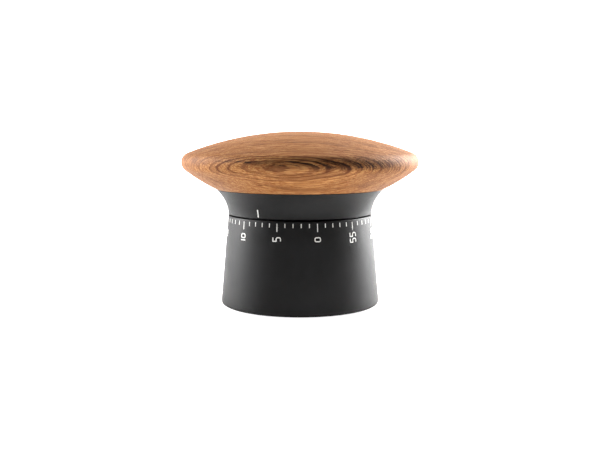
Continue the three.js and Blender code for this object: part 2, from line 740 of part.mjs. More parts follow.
// The click stands on a spoke's outer end, and its nose lies in a gap of the ratchet wheel.
const clickOrbit = pitchRadius(train.main, train.main.wheel) - 1.8;
const clickAt = new THREE.Vector2(clickOrbit, 0);
place(
  great,
  'click_stud',
  moved(
    turned([
      [0, greatTop + fitGap], [click.stud, greatTop + fitGap], [click.stud, ratchetTop + fitGap],
      [1, ratchetTop + fitGap], [1, ratchetTop + 0.35], [0, ratchetTop + 0.35],
    ], pivotSegments),
    clickAt,
  ),
  finish.steel,
);

// The click's nose lies in a gap of the ratchet wheel, against a tooth's steep side.
const noseBearing = (360 * (click.gap + 0.375)) / ratchet.teeth - secondAngle;

function clickGeometry() {
  const nose = polar(ratchet.radius + 0.1, noseBearing);
  const body = flat(bar(clickAt, nose, click.nose), ratchetBottom, ratchetTop);
  const eye = moved(cylinder(click.eye, ratchetBottom, ratchetTop), clickAt);
  return cut(join(body, eye), moved(cylinder(click.stud + fitGap, 0, ratchetTop + 1), clickAt));
}

place(great, 'click', clickGeometry(), finish.steel);

// A bent strip that presses the click towards the ratchet wheel.
function clickSpringGeometry() {
  const { anchorAngle, freeAngle, reach, thickness, anchor } = clickSpring;
  const steps = 8;
  const edge = (offset) =>
    Array.from({ length: steps + 1 }, (_, i) => {
      const share = i / steps;
      const angle = anchorAngle + (freeAngle - anchorAngle) * share;
      const point = polar(clickOrbit - reach * share + offset, angle);
      return [point.x, point.y];
    });
  const top = ratchetTop - 0.4;
  const strip = flat(outline([...edge(0), ...edge(thickness).reverse()]), ratchetBottom, top);
  return join(strip, moved(cylinder(anchor, ratchetBottom, top), polar(clickOrbit, anchorAngle)));
}

place(great, 'click_spring', clickSpringGeometry(), finish.spring);

// A mobile: an arbor with its pinion in mesh with the driver, and a wheel in mesh with the next.
function mobile(name, point, { driver, driverGear, driverBottom, driverTop }, wheel) {
  const facing = bearing(point, driver);
  const turnedToDriver = stand(point, facing + halfPitch(driverGear.pinion));
  place(
    turnedToDriver,
    `${name}_arbor`,
    arborGeometry(bottomPlateTop, topPlateBottom, driverGear, driverBottom, driverTop),
    finish.steel,
  );
  place(stand(point, wheel.facing), wheel.name, wheel.geometry, wheel.material ?? finish.brass);
}

const spokedWheel = (gear, bottom, thickness) =>
  flat(wheelOutline(gear), bottom, bottom + thickness, [
    bore(shaft.train + fitGap, pivotSegments),
    ...windows(4, 2.6, pitchRadius(gear, gear.wheel) - 1.6, 0.6),
  ]);

mobile('second', at.second,
  {
    driver: axis,
    driverGear: train.main,
    driverBottom: greatBottom - pinionOverhang,
    driverTop: greatTop + pinionOverhang,
  },
  {
    name: 'second_wheel',
    facing: bearing(at.second, at.third),
    geometry: spokedWheel(train.second, secondBottom, sheet.wheel),
  });

mobile('third', at.third,
  {
    driver: at.second,
    driverGear: train.second,
    driverBottom: secondBottom - pinionOverhang,
    driverTop: secondBottom + sheet.wheel + pinionOverhang,
  },
  {
    name: 'third_wheel',
    facing: bearing(at.third, at.escape),
    geometry: spokedWheel(train.third, thirdBottom, sheet.wheel),
  });

mobile('escape', at.escape,
  {
    driver: at.third,
    driverGear: train.third,
    driverBottom: thirdBottom - pinionOverhang,
    driverTop: thirdBottom + sheet.wheel + pinionOverhang,
  },
  {
    name: 'escape_wheel',
    facing: bearing(at.escape, at.balance),
    geometry: flat(
      pointed(escapement.teeth, escapement.radius, escapement.toothDepth, 0),
      escapeBottom,
      escapeBottom + sheet.wheel,
      [bore(shaft.train + fitGap, pivotSegments), ...windows(4, 1.7, escapement.radius - 2, 0.35)],
    ),
  });

// The balance: a weighted disc whose two pins dip in turn between the escape wheel's teeth.
const balanceTurn = stand(at.balance, bearing(at.balance, at.escape));
const discBottom = bottomPlateTop + levelGap;
const discTop = discBottom + balance.thickness;
place(
  balanceTurn,
  'balance_arbor',
  turned([
    [0, bottomPlateBottom + shoulder], [shaft.pivot, bottomPlateBottom + shoulder],
    [shaft.pivot, bottomPlateTop + shoulder], [shaft.train, bottomPlateTop + shoulder],
    [shaft.train, cockBottom - shoulder], [shaft.pivot, cockBottom - shoulder],
    [shaft.pivot, cockBottom + cock.thickness - shoulder], [0, cockBottom + cock.thickness - shoulder],
  ], pivotSegments),
  finish.steel,
);
place(
  balanceTurn,
  'balance_disc',
  flat(disc(balance.radius, 24), discBottom, discTop, [
    bore(shaft.train + fitGap, pivotSegments),
    ...[1, -1].map((side) => {
      const seat = polar(balancePin.orbit, side * balancePin.angle);
      return circlePath(seat.x, seat.y, balancePin.radius + 0.05, 8);
    }),
  ]),
  finish.brass,
);
[1, -1].forEach((side, i) => {
  const pin = cylinder(balancePin.radius, discBottom + 0.2, escapeBottom + sheet.wheel + 0.2, 8);
  const pinAt = polar(balancePin.orbit, side * balancePin.angle);
  place(balanceTurn, `balance_pin_${i + 1}`, moved(pin, pinAt), finish.steel);
});

// ---------------------------------------------------------------- mainspring and striking train

const drumRadius = pitchRadius(train.main, train.main.wheel) - 1.25;
const drumInner = drumRadius - sheet.drum;
const barrelTurn = stand(axis, strikeAngle);

function barrelGeometry() {
  const flange = flat(wheelOutline(train.main), barrelBottom, barrelBottom + sheet.flange);
  const lidSeat = drumInner + 0.4;
  const drum = turned([
    [drumInner, barrelBottom + 0.2], [drumRadius, barrelBottom + 0.2], [drumRadius, barrelTop],
    [lidSeat, barrelTop], [lidSeat, lidBottom - fitGap], [drumInner, lidBottom - fitGap],
  ], 32);
  return cut(join(flange, drum), cylinder(shaft.main + runningGap, 0, barrelTop + 1));
}

place(barrelTurn, 'barrel', barrelGeometry(), finish.brass);
place(
  barrelTurn,
  'barrel_lid',
  flat(disc(drumInner + 0.2, 32), lidBottom, barrelTop, [
    bore(shaft.main + runningGap),
  ]),
  finish.brass,
);

// A flat spiral strip from beside the arbor out to the drum's wall.
function mainspringGeometry() {
  const inner = shaft.main + 0.5;
  const outer = drumInner - 0.3;
  const steps = spring.turns * 14;
  const edge = (offset) =>
    Array.from({ length: steps + 1 }, (_, i) => {
      const share = i / steps;
      const r = inner + (outer - inner - spring.thickness) * share + offset;
      const a = 2 * Math.PI * spring.turns * share;
      return [r * Math.cos(a), r * Math.sin(a)];
    });
  return flat(outline([...edge(spring.thickness), ...edge(0).reverse()]), springBottom, springTop);
}

place(barrelTurn, 'mainspring', mainspringGeometry(), finish.spring);

mobile('strike', at.strike,
  {
    driver: axis,
    driverGear: train.main,
    driverBottom: barrelBottom - 0.1,
    driverTop: barrelBottom + sheet.flange + pinionOverhang,
  },
  {
    name: 'star_wheel',
    facing: bearing(at.strike, at.hammer) + halfPitch(star.teeth),
    geometry: flat(
      pointed(star.teeth, star.radius, star.toothDepth, 0),
      thirdBottom,
      thirdBottom + sheet.wheel,
      [bore(shaft.train + fitGap, pivotSegments), ...windows(4, 2, star.radius - 2.6, 0.5)],
    ),
    material: finish.steel,
  });

// The hammer: an upright arbor with an anchor at the star wheel, a tail for the release lever's
// hook, and below the bottom plate an arm with a brass head inside the bell.
const hammerTurn = stand(at.hammer);
const local = (point) => point.clone().sub(at.hammer);
const headOrbit = bell.radius - bell.wall - hammerHead.radius - hammerHead.gap;
const headAt = local(polar(headOrbit, hammerAngle + hammerHead.sweep));
const armTop = hammerArmBottom + hammerArm.thickness;

place(
  hammerTurn,
  'hammer_arbor',
  turned([
    [0, hammerArmBottom - 0.3], [shaft.train, hammerArmBottom - 0.3], [shaft.train, topPlateBottom - 0.2],
    [shaft.pivot, topPlateBottom - 0.2], [shaft.pivot, topPlateTop - 0.2], [0, topPlateTop - 0.2],
  ], pivotSegments),
  finish.steel,
);

function hammerAnchorGeometry() {
  const facing = bearing(at.hammer, at.strike);
  const pinAt = [1, -1].map((side) => polar(hammer.pinOrbit, facing + side * hammer.pinAngle));
  const bottom = thirdBottom + sheet.wheel + 0.25;
  const top = bottom + 0.5;
  const arms = pinAt.map((point) => flat(bar(axis, point, 1.3), bottom, top));
  const eye = cylinder(1.7, bottom, top);
  const pins = pinAt.map((point) => moved(cylinder(hammer.pinRadius, thirdBottom - 0.2, top, 8), point));
  const bored = cylinder(shaft.train + fitGap, 0, top + 1, pivotSegments);
  return cut(join(eye, ...arms, ...pins), bored);
}

place(hammerTurn, 'hammer_anchor', hammerAnchorGeometry(), finish.steel);

const tailEnd = polar(hammerTail.length, hammerTail.angle);
place(
  hammerTurn,
  'hammer_tail',
  cut(
    join(
      flat(bar(axis, tailEnd, hammerTail.width), camBottom, camTop),
      cylinder(1.6, camBottom, camTop),
    ),
    cylinder(shaft.train + fitGap, 0, camTop + 1, pivotSegments),
  ),
  finish.steel,
);

function hammerArmGeometry() {
  const arm = flat(bar(axis, headAt, hammerArm.width), hammerArmBottom, armTop);
  const eye = cylinder(1.7, hammerArmBottom, armTop);
  return cut(
    join(arm, eye),
    cylinder(shaft.train + fitGap, 0, armTop + 1, pivotSegments),
    moved(cylinder(hammerHead.radius + fitGap, 0, armTop + 1), headAt),
  );
}

place(hammerTurn, 'hammer_arm', hammerArmGeometry(), finish.steel);

const headMiddle = (hammerArmBottom + armTop) / 2;
place(
  hammerTurn,
  'hammer_head',
  moved(
    cylinder(hammerHead.radius, headMiddle - hammerHead.height / 2, headMiddle + hammerHead.height / 2),
    headAt,
  ),
  finish.brass,
);

// The release lever turns on a stud in the top plate. Its nose rides on the cam and its hook
// stands over the hammer's tail.
const leverStud = stand(at.lever);
place(
  leverStud,
  'lever_stud',
  turned([
    [0, camBottom - 0.35], [1.1, camBottom - 0.35], [1.1, camBottom - fitGap],
    [lever.stud, camBottom - fitGap],
    [lever.stud, topPlateBottom - fitGap], [shaft.pivot, topPlateBottom - fitGap],
    [shaft.pivot, topPlateTop - 0.2], [0, topPlateTop - 0.2],
  ], pivotSegments),
  finish.steel,
);

const noseAt = polar(cam.radius + runningGap + lever.width / 2, leverNoseAngle).sub(at.lever);
const guarded = at.hammer.clone().add(tailEnd).sub(at.lever);
const hookAt = guarded.clone().add(new THREE.Vector2(leverHook.gap, 0));
const hookTip = guarded.clone().add(new THREE.Vector2(leverHook.gap / 4, -leverHook.gap));

function leverGeometry() {
  const top = camTop - 0.1;
  const arms = [noseAt, hookAt].map((point) => flat(bar(axis, point, lever.width), camBottom, top));
  const hook = flat(bar(hookAt, hookTip, leverHook.width), camBottom, top);
  const body = join(cylinder(lever.eye, camBottom, top), ...arms, hook);
  return cut(body, cylinder(lever.stud + fitGap, 0, top + 1));
}

place(leverStud, 'release_lever', leverGeometry(), finish.steel);

export default timer;
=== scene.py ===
import bpy
import bmesh
import json
import math
import numpy as np
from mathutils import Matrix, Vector
from mathutils.geometry import tessellate_polygon

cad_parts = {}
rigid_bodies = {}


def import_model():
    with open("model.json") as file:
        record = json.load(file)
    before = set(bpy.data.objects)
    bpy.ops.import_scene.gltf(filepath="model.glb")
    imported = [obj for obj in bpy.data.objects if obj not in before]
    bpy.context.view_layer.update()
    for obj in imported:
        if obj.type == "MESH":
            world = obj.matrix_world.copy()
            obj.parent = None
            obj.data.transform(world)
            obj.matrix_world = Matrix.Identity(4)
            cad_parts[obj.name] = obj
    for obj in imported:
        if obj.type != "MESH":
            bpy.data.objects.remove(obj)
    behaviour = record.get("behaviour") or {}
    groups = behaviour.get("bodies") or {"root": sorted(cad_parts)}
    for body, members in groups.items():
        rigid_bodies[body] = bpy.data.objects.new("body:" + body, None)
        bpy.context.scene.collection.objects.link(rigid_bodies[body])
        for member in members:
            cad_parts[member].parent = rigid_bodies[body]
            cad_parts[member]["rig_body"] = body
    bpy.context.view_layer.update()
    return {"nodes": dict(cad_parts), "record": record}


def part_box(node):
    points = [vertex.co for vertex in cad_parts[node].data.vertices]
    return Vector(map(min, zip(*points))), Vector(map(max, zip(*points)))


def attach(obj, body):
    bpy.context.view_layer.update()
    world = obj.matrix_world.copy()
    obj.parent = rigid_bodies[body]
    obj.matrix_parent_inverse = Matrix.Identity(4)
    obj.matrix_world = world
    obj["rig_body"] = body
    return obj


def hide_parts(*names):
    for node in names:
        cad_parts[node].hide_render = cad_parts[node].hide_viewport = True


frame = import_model()
print("frame loaded")

# A sixty-minute kitchen timer. Lengths are millimetres here and become metres when a mesh is made.
mm = 0.001
general = {"segments": 256, "sharpAngle": 32, "edge": 0.07}


def spot(node):  # the middle of a CAD node's box in plan
    low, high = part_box(node)
    return np.array([(low.x + high.x) / 2, (low.y + high.y) / 2]) / mm


def span(node):  # a CAD node's lowest and highest point
    low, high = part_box(node)
    return low.z / mm, high.z / mm


def reach(node):  # half of a CAD node's width
    low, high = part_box(node)
    return (high.x - low.x) / 2 / mm


def bearing(start, end):
    return math.degrees(math.atan2(end[1] - start[1], end[0] - start[0]))


def polar(radius, degrees):
    return np.array([radius * math.cos(math.radians(degrees)), radius * math.sin(math.radians(degrees))])


# ---- shapes: each function returns points (n, 3) and a list of faces, one closed shell

# Points of a circular arc: centre plus radius times (cos a, sin a), a in even steps.
def arc(centre, radius, start, end, steps):
    a = np.radians(np.linspace(start, end, steps + 1))
    return np.stack([centre[0] + radius * np.cos(a), centre[1] + radius * np.sin(a)], axis=1)


# Each corner of a path becomes an arc that touches both its sides: it starts and ends
# radius * tan(half the turn) from the corner. Corners are rows of x, y and radius.
def rounded(corners, steps=5, closed=False):
    rows = [np.array(c, float) for c in corners]
    out = []
    for i, row in enumerate(rows):
        here, radius = row[:2], row[2] if len(row) > 2 else 0
        if radius <= 0 or (not closed and i in (0, len(rows) - 1)):
            out.append(here[None])
            continue
        before, after = rows[i - 1][:2] - here, rows[(i + 1) % len(rows)][:2] - here
        inLength, outLength = np.linalg.norm(before), np.linalg.norm(after)
        before, after = before / inLength, after / outLength
        half = math.acos(np.clip(before @ after, -1, 1)) / 2
        if half > math.radians(88):
            out.append(here[None])
            continue
        back = min(radius / math.tan(half), 0.49 * inLength, 0.49 * outLength)
        radius = back * math.tan(half)
        middle = here + (before + after) / np.linalg.norm(before + after) * radius / math.sin(half)
        a = np.arctan2(*(here + before * back - middle)[::-1])
        b = np.arctan2(*(here + after * back - middle)[::-1])
        turn = (b - a + math.pi) % (2 * math.pi) - math.pi
        out.append(arc(middle, radius, math.degrees(a), math.degrees(a + turn), steps))
    return np.concatenate(out)


def gridFaces(rows, columns, closeRows=False, closeColumns=False):
    i = np.arange(rows if closeRows else rows - 1)[:, None]
    j = np.arange(columns if closeColumns else columns - 1)[None]
    k, m = (i + 1) % rows, (j + 1) % columns
    quads = np.stack([i * columns + j, k * columns + j, k * columns + m, i * columns + m], axis=2)
    return quads.reshape(-1, 4).tolist()


# A profile of (radius, height) turned about an upright axis: x = r cos a, y = r sin a, z = h.
def turned(profile, centre=(0, 0), segments=None):
    profile = np.array(profile, float)
    segments = segments or general["segments"]
    a = 2 * np.pi * np.arange(segments) / segments
    r, z = profile[:, :1], np.repeat(profile[:, 1:2], segments, axis=1)
    points = np.stack([centre[0] + r * np.cos(a), centre[1] + r * np.sin(a), z], axis=2)
    onAxis = profile[0, 0] < 1e-6 and profile[-1, 0] < 1e-6
    return points.reshape(-1, 3), gridFaces(len(profile), segments, not onAxis, True)


# A flat outline with holes, raised from bottom to top. The edges are broken: each point moves
# along the bisector of its two sides by the edge's width on the end faces.
def stamped(loops, bottom, top, centre=(0, 0), turn=0, edge=None):
    edge = general["edge"] if edge is None else edge
    levels = [(edge, bottom), (0, bottom + edge), (0, top - edge), (edge, top)]
    points, faces, insets, offset = [], [], [], 0
    c, s = math.cos(math.radians(turn)), math.sin(math.radians(turn))
    for number, loop in enumerate(loops):
        loop = np.array(loop, float)
        loop = loop[np.linalg.norm(loop - np.roll(loop, 1, axis=0), axis=1) > 1e-5]
        area = np.sum(loop[:, 0] * np.roll(loop[:, 1], -1) - np.roll(loop[:, 0], -1) * loop[:, 1])
        if (area > 0) != (number == 0):
            loop = loop[::-1]
        ahead = np.roll(loop, -1, axis=0) - loop
        ahead /= np.linalg.norm(ahead, axis=1)[:, None]
        left = np.stack([-ahead[:, 1], ahead[:, 0]], axis=1)
        bisector = left + np.roll(left, 1, axis=0)
        bisector /= np.maximum((bisector ** 2).sum(axis=1) / 2, 0.35)[:, None]
        rings = [np.column_stack([loop + bisector * inset, np.full(len(loop), z)]) for inset, z in levels]
        insets.append(rings[0][:, :2])
        faces += [[v + offset for v in f] for f in gridFaces(len(levels), len(loop), False, True)]
        points.append(np.concatenate(rings))
        offset += len(loop) * len(levels)
    flat = np.concatenate(insets)
    starts, first = [], 0
    for inset in insets:  # where each loop's lowest ring starts in the points
        starts.append(np.arange(len(inset)) + first)
        first += len(inset) * len(levels)
    low = np.concatenate(starts)
    high = np.concatenate([s0 + len(i) * 3 for s0, i in zip(starts, insets)])
    for tri in tessellate_polygon([[Vector((x, y, 0)) for x, y in i] for i in insets]):
        a, b, d = flat[list(tri)]
        up = (b[0] - a[0]) * (d[1] - a[1]) - (b[1] - a[1]) * (d[0] - a[0])
        tri = tri if up > 0 else tri[::-1]
        faces += [[int(high[v]) for v in tri], [int(low[v]) for v in tri[::-1]]]
    points = np.concatenate(points)
    x, y = points[:, 0].copy(), points[:, 1].copy()
    points[:, 0], points[:, 1] = centre[0] + x * c - y * s, centre[1] + x * s + y * c
    return points, faces


# A screw as one surface, its seat at height nought and its head above. The thread is
# r = shank - depth * peak(h / pitch - a / 360); it fades out at the tip and under the head.
def screwShell(head, headHeight, shank, length, pitch=0.5, depth=0.13, segments=32):
    h = np.append(np.arange(-length, -0.02, pitch / 6), 0.0)[:, None]
    a = 2 * np.pi * np.arange(segments)[None] / segments
    wave = np.abs(((h / pitch - a / (2 * np.pi)) % 1) * 2 - 1)
    taper = np.clip((h + length) / 0.9, 0, 1)
    r = shank - depth * np.clip(wave * 1.3 - 0.15, 0, 1) * taper * np.clip(-h / 0.8, 0, 1)
    r = r * taper ** 0.5
    top = rounded([(shank, 0), (head, 0, 0.06), (head, headHeight, 0.28), (0, headHeight)])[1:]
    r = np.concatenate([r, np.repeat(top[:, :1], segments, axis=1)])
    h = np.concatenate([h, top[:, 1:]])
    points = np.stack([r * np.cos(a), r * np.sin(a), h + 0 * a], axis=2)
    return points.reshape(-1, 3), gridFaces(len(h), segments, False, True)


# An upright cylinder. Its top end can be a cone, as a drill leaves it.
def plug(radius, low, high, at, segments=64, point=0):
    return turned([(0, low), (radius, low), (radius, high - point), (0, high)], at, segments)


# Moves a shell made round the origin to its place, turned, and upside down where asked.
def placed(shell, centre=(0, 0), height=0.0, turn=0.0, upsideDown=False):
    points = shell[0] * ([1, -1, -1] if upsideDown else [1, 1, 1])
    c, s = math.cos(math.radians(turn)), math.sin(math.radians(turn))
    x, y = points[:, 0] * c - points[:, 1] * s, points[:, 0] * s + points[:, 1] * c
    return np.column_stack([x + centre[0], y + centre[1], points[:, 2] + height]), shell[1]


# ---- pieces

def joined(shells):  # several shells as one list of points and faces
    points = np.concatenate([s[0] for s in shells])
    starts = np.cumsum([0] + [len(s[0]) for s in shells])
    faces = [[v + int(n) for v in f] for n, s in zip(starts, shells) for f in s[1]]
    return points, faces


# Merges doubled points, takes out slivers and faces that lie on each other, closes the small
# gaps that this leaves, and turns all normals outwards.
def cleaned(data):
    work = bmesh.new()
    work.from_mesh(data)
    bmesh.ops.remove_doubles(work, verts=work.verts, dist=2e-7)
    bmesh.ops.dissolve_degenerate(work, edges=work.edges, dist=2e-7)
    shared = {}
    for face in work.faces:
        shared.setdefault(frozenset(face.verts), []).append(face)
    twins = [face for faces in shared.values() if len(faces) > 1 for face in faces]
    bmesh.ops.delete(work, geom=twins, context="FACES")
    gaps = [edge for edge in work.edges if edge.is_boundary]
    if len(gaps) < 40:
        bmesh.ops.holes_fill(work, edges=gaps, sides=8)
    bmesh.ops.recalc_face_normals(work, faces=work.faces)
    if work.calc_volume(signed=True) < 0:
        bmesh.ops.reverse_faces(work, faces=work.faces)
    work.to_mesh(data)
    work.free()


def rawObject(name, shells):
    points, faces = joined(shells)
    data = bpy.data.meshes.new(name)
    data.from_pydata((points * mm).tolist(), [], faces)
    piece = bpy.data.objects.new(name, data)
    bpy.context.scene.collection.objects.link(piece)
    cleaned(data)
    return piece


# Cuts other shells out of a piece, or joins them to it, one by one.
def combined(piece, shells, operation="DIFFERENCE"):
    for shell in shells:
        tool = rawObject("tool", [shell])
        modifier = piece.modifiers.new("combine", "BOOLEAN")
        modifier.operation, modifier.solver, modifier.object = operation, "EXACT", tool
        state = piece.evaluated_get(bpy.context.evaluated_depsgraph_get())
        old, piece.data = piece.data, bpy.data.meshes.new_from_object(state)
        piece.modifiers.clear()
        bpy.data.meshes.remove(old)
        toolData = tool.data
        bpy.data.objects.remove(tool)
        bpy.data.meshes.remove(toolData)
    cleaned(piece.data)
    return piece


# Writes where each point is from the piece's own axis, shades the piece and gives it its look.
# A piece that stands for CAD nodes takes its slot and its body from the first of them.
def finished(piece, nodes=(), centre=(0, 0), look=None, body=None, sharp=None):
    data = piece.data
    data.name = piece.name
    data.shade_smooth()
    data.set_sharp_from_angle(angle=math.radians(sharp or general["sharpAngle"]))
    places = np.zeros(len(data.vertices) * 3, np.float32)
    data.vertices.foreach_get("co", places)
    local = places.reshape(-1, 3) / mm - np.array([centre[0], centre[1], 0])
    attribute = data.attributes.new("local", "FLOAT_VECTOR", "POINT")
    attribute.data.foreach_set("vector", local.ravel().astype(np.float32))
    slotName = slotOfNode[nodes[0]] if nodes else looks[look][1]
    material = looks[look][0] if look else slotLooks[slotName]
    data.materials.clear()
    data.materials.append(material)
    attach(piece, body or frame["nodes"][nodes[0]]["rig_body"])
    if nodes:
        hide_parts(*nodes)
    return piece


def made(name, shells, nodes=(), centre=(0, 0), **choices):
    return finished(rawObject(name, shells), nodes, centre, **choices)


# ---- shader helpers

def linear(red, green, blue):  # a colour picker's 0 to 255 values as Blender's linear ones
    shares = [v / 255 for v in (red, green, blue)]
    return tuple(v / 12.92 if v <= 0.04045 else ((v + 0.055) / 1.055) ** 2.4 for v in shares) + (1,)


def add(tree, kind, inputs=None, **settings):
    node = tree.nodes.new("ShaderNode" + kind)
    for key, value in settings.items():
        setattr(node, key, value)
    for key, value in (inputs or {}).items():
        if isinstance(value, bpy.types.NodeSocket):
            tree.links.new(value, node.inputs[key])
        else:
            node.inputs[key].default_value = value
    return node


def calc(tree, operation, *terms):
    return add(tree, "Math", dict(enumerate(terms)), operation=operation).outputs[0]


def vectorCalc(tree, operation, *terms):
    return add(tree, "VectorMath", dict(enumerate(terms)), operation=operation).outputs[0]


def lengthOf(tree, vector):
    return add(tree, "VectorMath", {0: vector}, operation="LENGTH").outputs["Value"]


def remap(tree, value, low, high, newLow=0.0, newHigh=1.0, shape="SMOOTHSTEP"):
    inputs = {"Value": value, "From Min": low, "From Max": high, "To Min": newLow, "To Max": newHigh}
    return add(tree, "MapRange", inputs, interpolation_type=shape).outputs["Result"]


def mixed(tree, share, first, second):
    return add(tree, "Mix", {0: share, 6: first, 7: second}, data_type="RGBA").outputs[2]


def scaled(tree, vector, x, y, z):
    return vectorCalc(tree, "MULTIPLY", vector, (x, y, z))


def noise(tree, vector, scale=1.0, detail=2.0, roughness=0.5):
    inputs = {"Vector": vector, "Scale": scale, "Detail": detail, "Roughness": roughness}
    return add(tree, "TexNoise", inputs).outputs["Fac"]


def lineNoise(tree, along, detail=2.0):  # noise that changes along one value only
    inputs = {"W": along, "Scale": 1.0, "Detail": detail}
    return add(tree, "TexNoise", inputs, noise_dimensions="1D").outputs["Fac"]


def newGroup(name, inputs, outputs):
    tree = bpy.data.node_groups.new(name, "ShaderNodeTree")
    kinds = {"value": "NodeSocketFloat", "vector": "NodeSocketVector", "color": "NodeSocketColor"}
    for label, kind, default in inputs:
        socket = tree.interface.new_socket(name=label, in_out="INPUT", socket_type=kinds[kind])
        if default is not None:
            socket.default_value = default
    for label, kind in outputs:
        tree.interface.new_socket(name=label, in_out="OUTPUT", socket_type=kinds[kind])
    return tree, tree.nodes.new("NodeGroupInput").outputs, tree.nodes.new("NodeGroupOutput").inputs


def useGroup(tree, group, inputs):
    return add(tree, "Group", inputs, node_tree=group).outputs


# A material with its shader, its coordinates in mm and the values that are the same all over.
def newMaterial(name, **values):
    material = bpy.data.materials.new(name)
    material.use_nodes = True
    tree = material.node_tree
    tree.nodes.clear()
    shader = add(tree, "BsdfPrincipled")
    for key, value in values.items():
        shader.inputs[key.replace("_", " ")].default_value = value
    output = tree.nodes.new("ShaderNodeOutputMaterial")
    tree.links.new(shader.outputs[0], output.inputs[0])
    coordinates = add(tree, "TexCoord").outputs["Object"]
    return material, tree, shader, scaled(tree, coordinates, 1000, 1000, 1000)


def ownCoordinates(tree):  # mm from the piece's own axis
    return add(tree, "Attribute", attribute_name="local").outputs["Vector"]


def colored(tree, shader, share, first, second):  # the base colour goes from one colour to another
    tree.links.new(mixed(tree, share, first, second), shader.inputs["Base Color"])


def bumped(tree, shader, height, strength, distance):
    bump = add(tree, "Bump", {"Height": height, "Strength": strength, "Distance": distance})
    tree.links.new(bump.outputs[0], shader.inputs["Normal"])


# ---- groups that several finishes share

# Moulded or sprayed grain: two sizes of noise as a height, and slow blotches as a shade.
def makeGrain():
    tree, given, out = newGroup(
        "fineGrain",
        [("Vector", "vector", None), ("Size", "value", 0.25), ("Blotch", "value", 14.0)],
        [("Height", "value"), ("Shade", "value")],
    )
    fineScale = calc(tree, "DIVIDE", 1.0, given["Size"])
    fine = noise(tree, given["Vector"], fineScale, 3.0, 0.6)
    coarse = noise(tree, given["Vector"], calc(tree, "MULTIPLY", fineScale, 0.3), 2.0)
    height = calc(tree, "ADD", fine, calc(tree, "MULTIPLY", coarse, 0.5))
    blotch = noise(tree, given["Vector"], calc(tree, "DIVIDE", 1.0, given["Blotch"]), 4.0, 0.6)
    tree.links.new(height, out["Height"])
    tree.links.new(blotch, out["Shade"])
    return tree


# Lathe marks: noise along the distance from the axis plus the height, so rings on a face and
# rings along a rod. The second output changes slowly round the piece.
def makeTurning():
    tree, given, out = newGroup(
        "turningMarks",
        [("Vector", "vector", None), ("Pitch", "value", 0.12)],
        [("Height", "value"), ("Shade", "value")],
    )
    radius = lengthOf(tree, scaled(tree, given["Vector"], 1, 1, 0))
    height = add(tree, "SeparateXYZ", {0: given["Vector"]}).outputs["Z"]
    along = calc(tree, "DIVIDE", calc(tree, "ADD", radius, height), given["Pitch"])
    slow = noise(tree, given["Vector"], 0.35, 3.0)
    tree.links.new(lineNoise(tree, along), out["Height"])
    tree.links.new(slow, out["Shade"])
    return tree


# Tiny scratches: stretched noise in two directions, kept only where it is highest.
def makeScratches():
    tree, given, out = newGroup(
        "lightScratches",
        [("Vector", "vector", None), ("Density", "value", 0.5)],
        [("Mask", "value")],
    )
    first = noise(tree, scaled(tree, given["Vector"], 0.35, 9, 9), 1.0, 1.0)
    tilted = add(tree, "VectorRotate", {"Vector": given["Vector"], "Angle": 1.05}, rotation_type="Z_AXIS")
    second = noise(tree, scaled(tree, tilted.outputs[0], 0.3, 8, 8), 1.0, 1.0)
    top = calc(tree, "MAXIMUM", first, second)
    edge = calc(tree, "SUBTRACT", 0.86, calc(tree, "MULTIPLY", given["Density"], 0.2))
    tree.links.new(remap(tree, top, edge, 0.9), out["Mask"])
    return tree


grain, turning, scratches = makeGrain(), makeTurning(), makeScratches()


# ---- finishes

oakLook = {
    "pith": (58.0, 84.0),  # where the log's middle lies, in y and z
    "ringWidth": 1.15,
    "bow": 0.0061,  # how far the layers bend along the board, per mm squared
    "shift": -5.6,
    "heart": (58.2, -0.02),  # the dark streak: its height at the middle and its slope
    # It widens between two places along x, from one half width to another.
    "heartWidth": (-25.0, 18.0, 0.4, 2.1),
    "heartEnds": (-38.0, -16.0, 27.0, 40.0),  # it comes up between the first two and fades between the others
    "faint": (51.0, 57.0),  # between these heights the layers' dark lines grow fainter downwards
    "pale": linear(190, 135, 84),
    "middle": linear(142, 89, 47),
    "late": linear(84, 41, 18),
    "dark": linear(34, 14, 7),
}


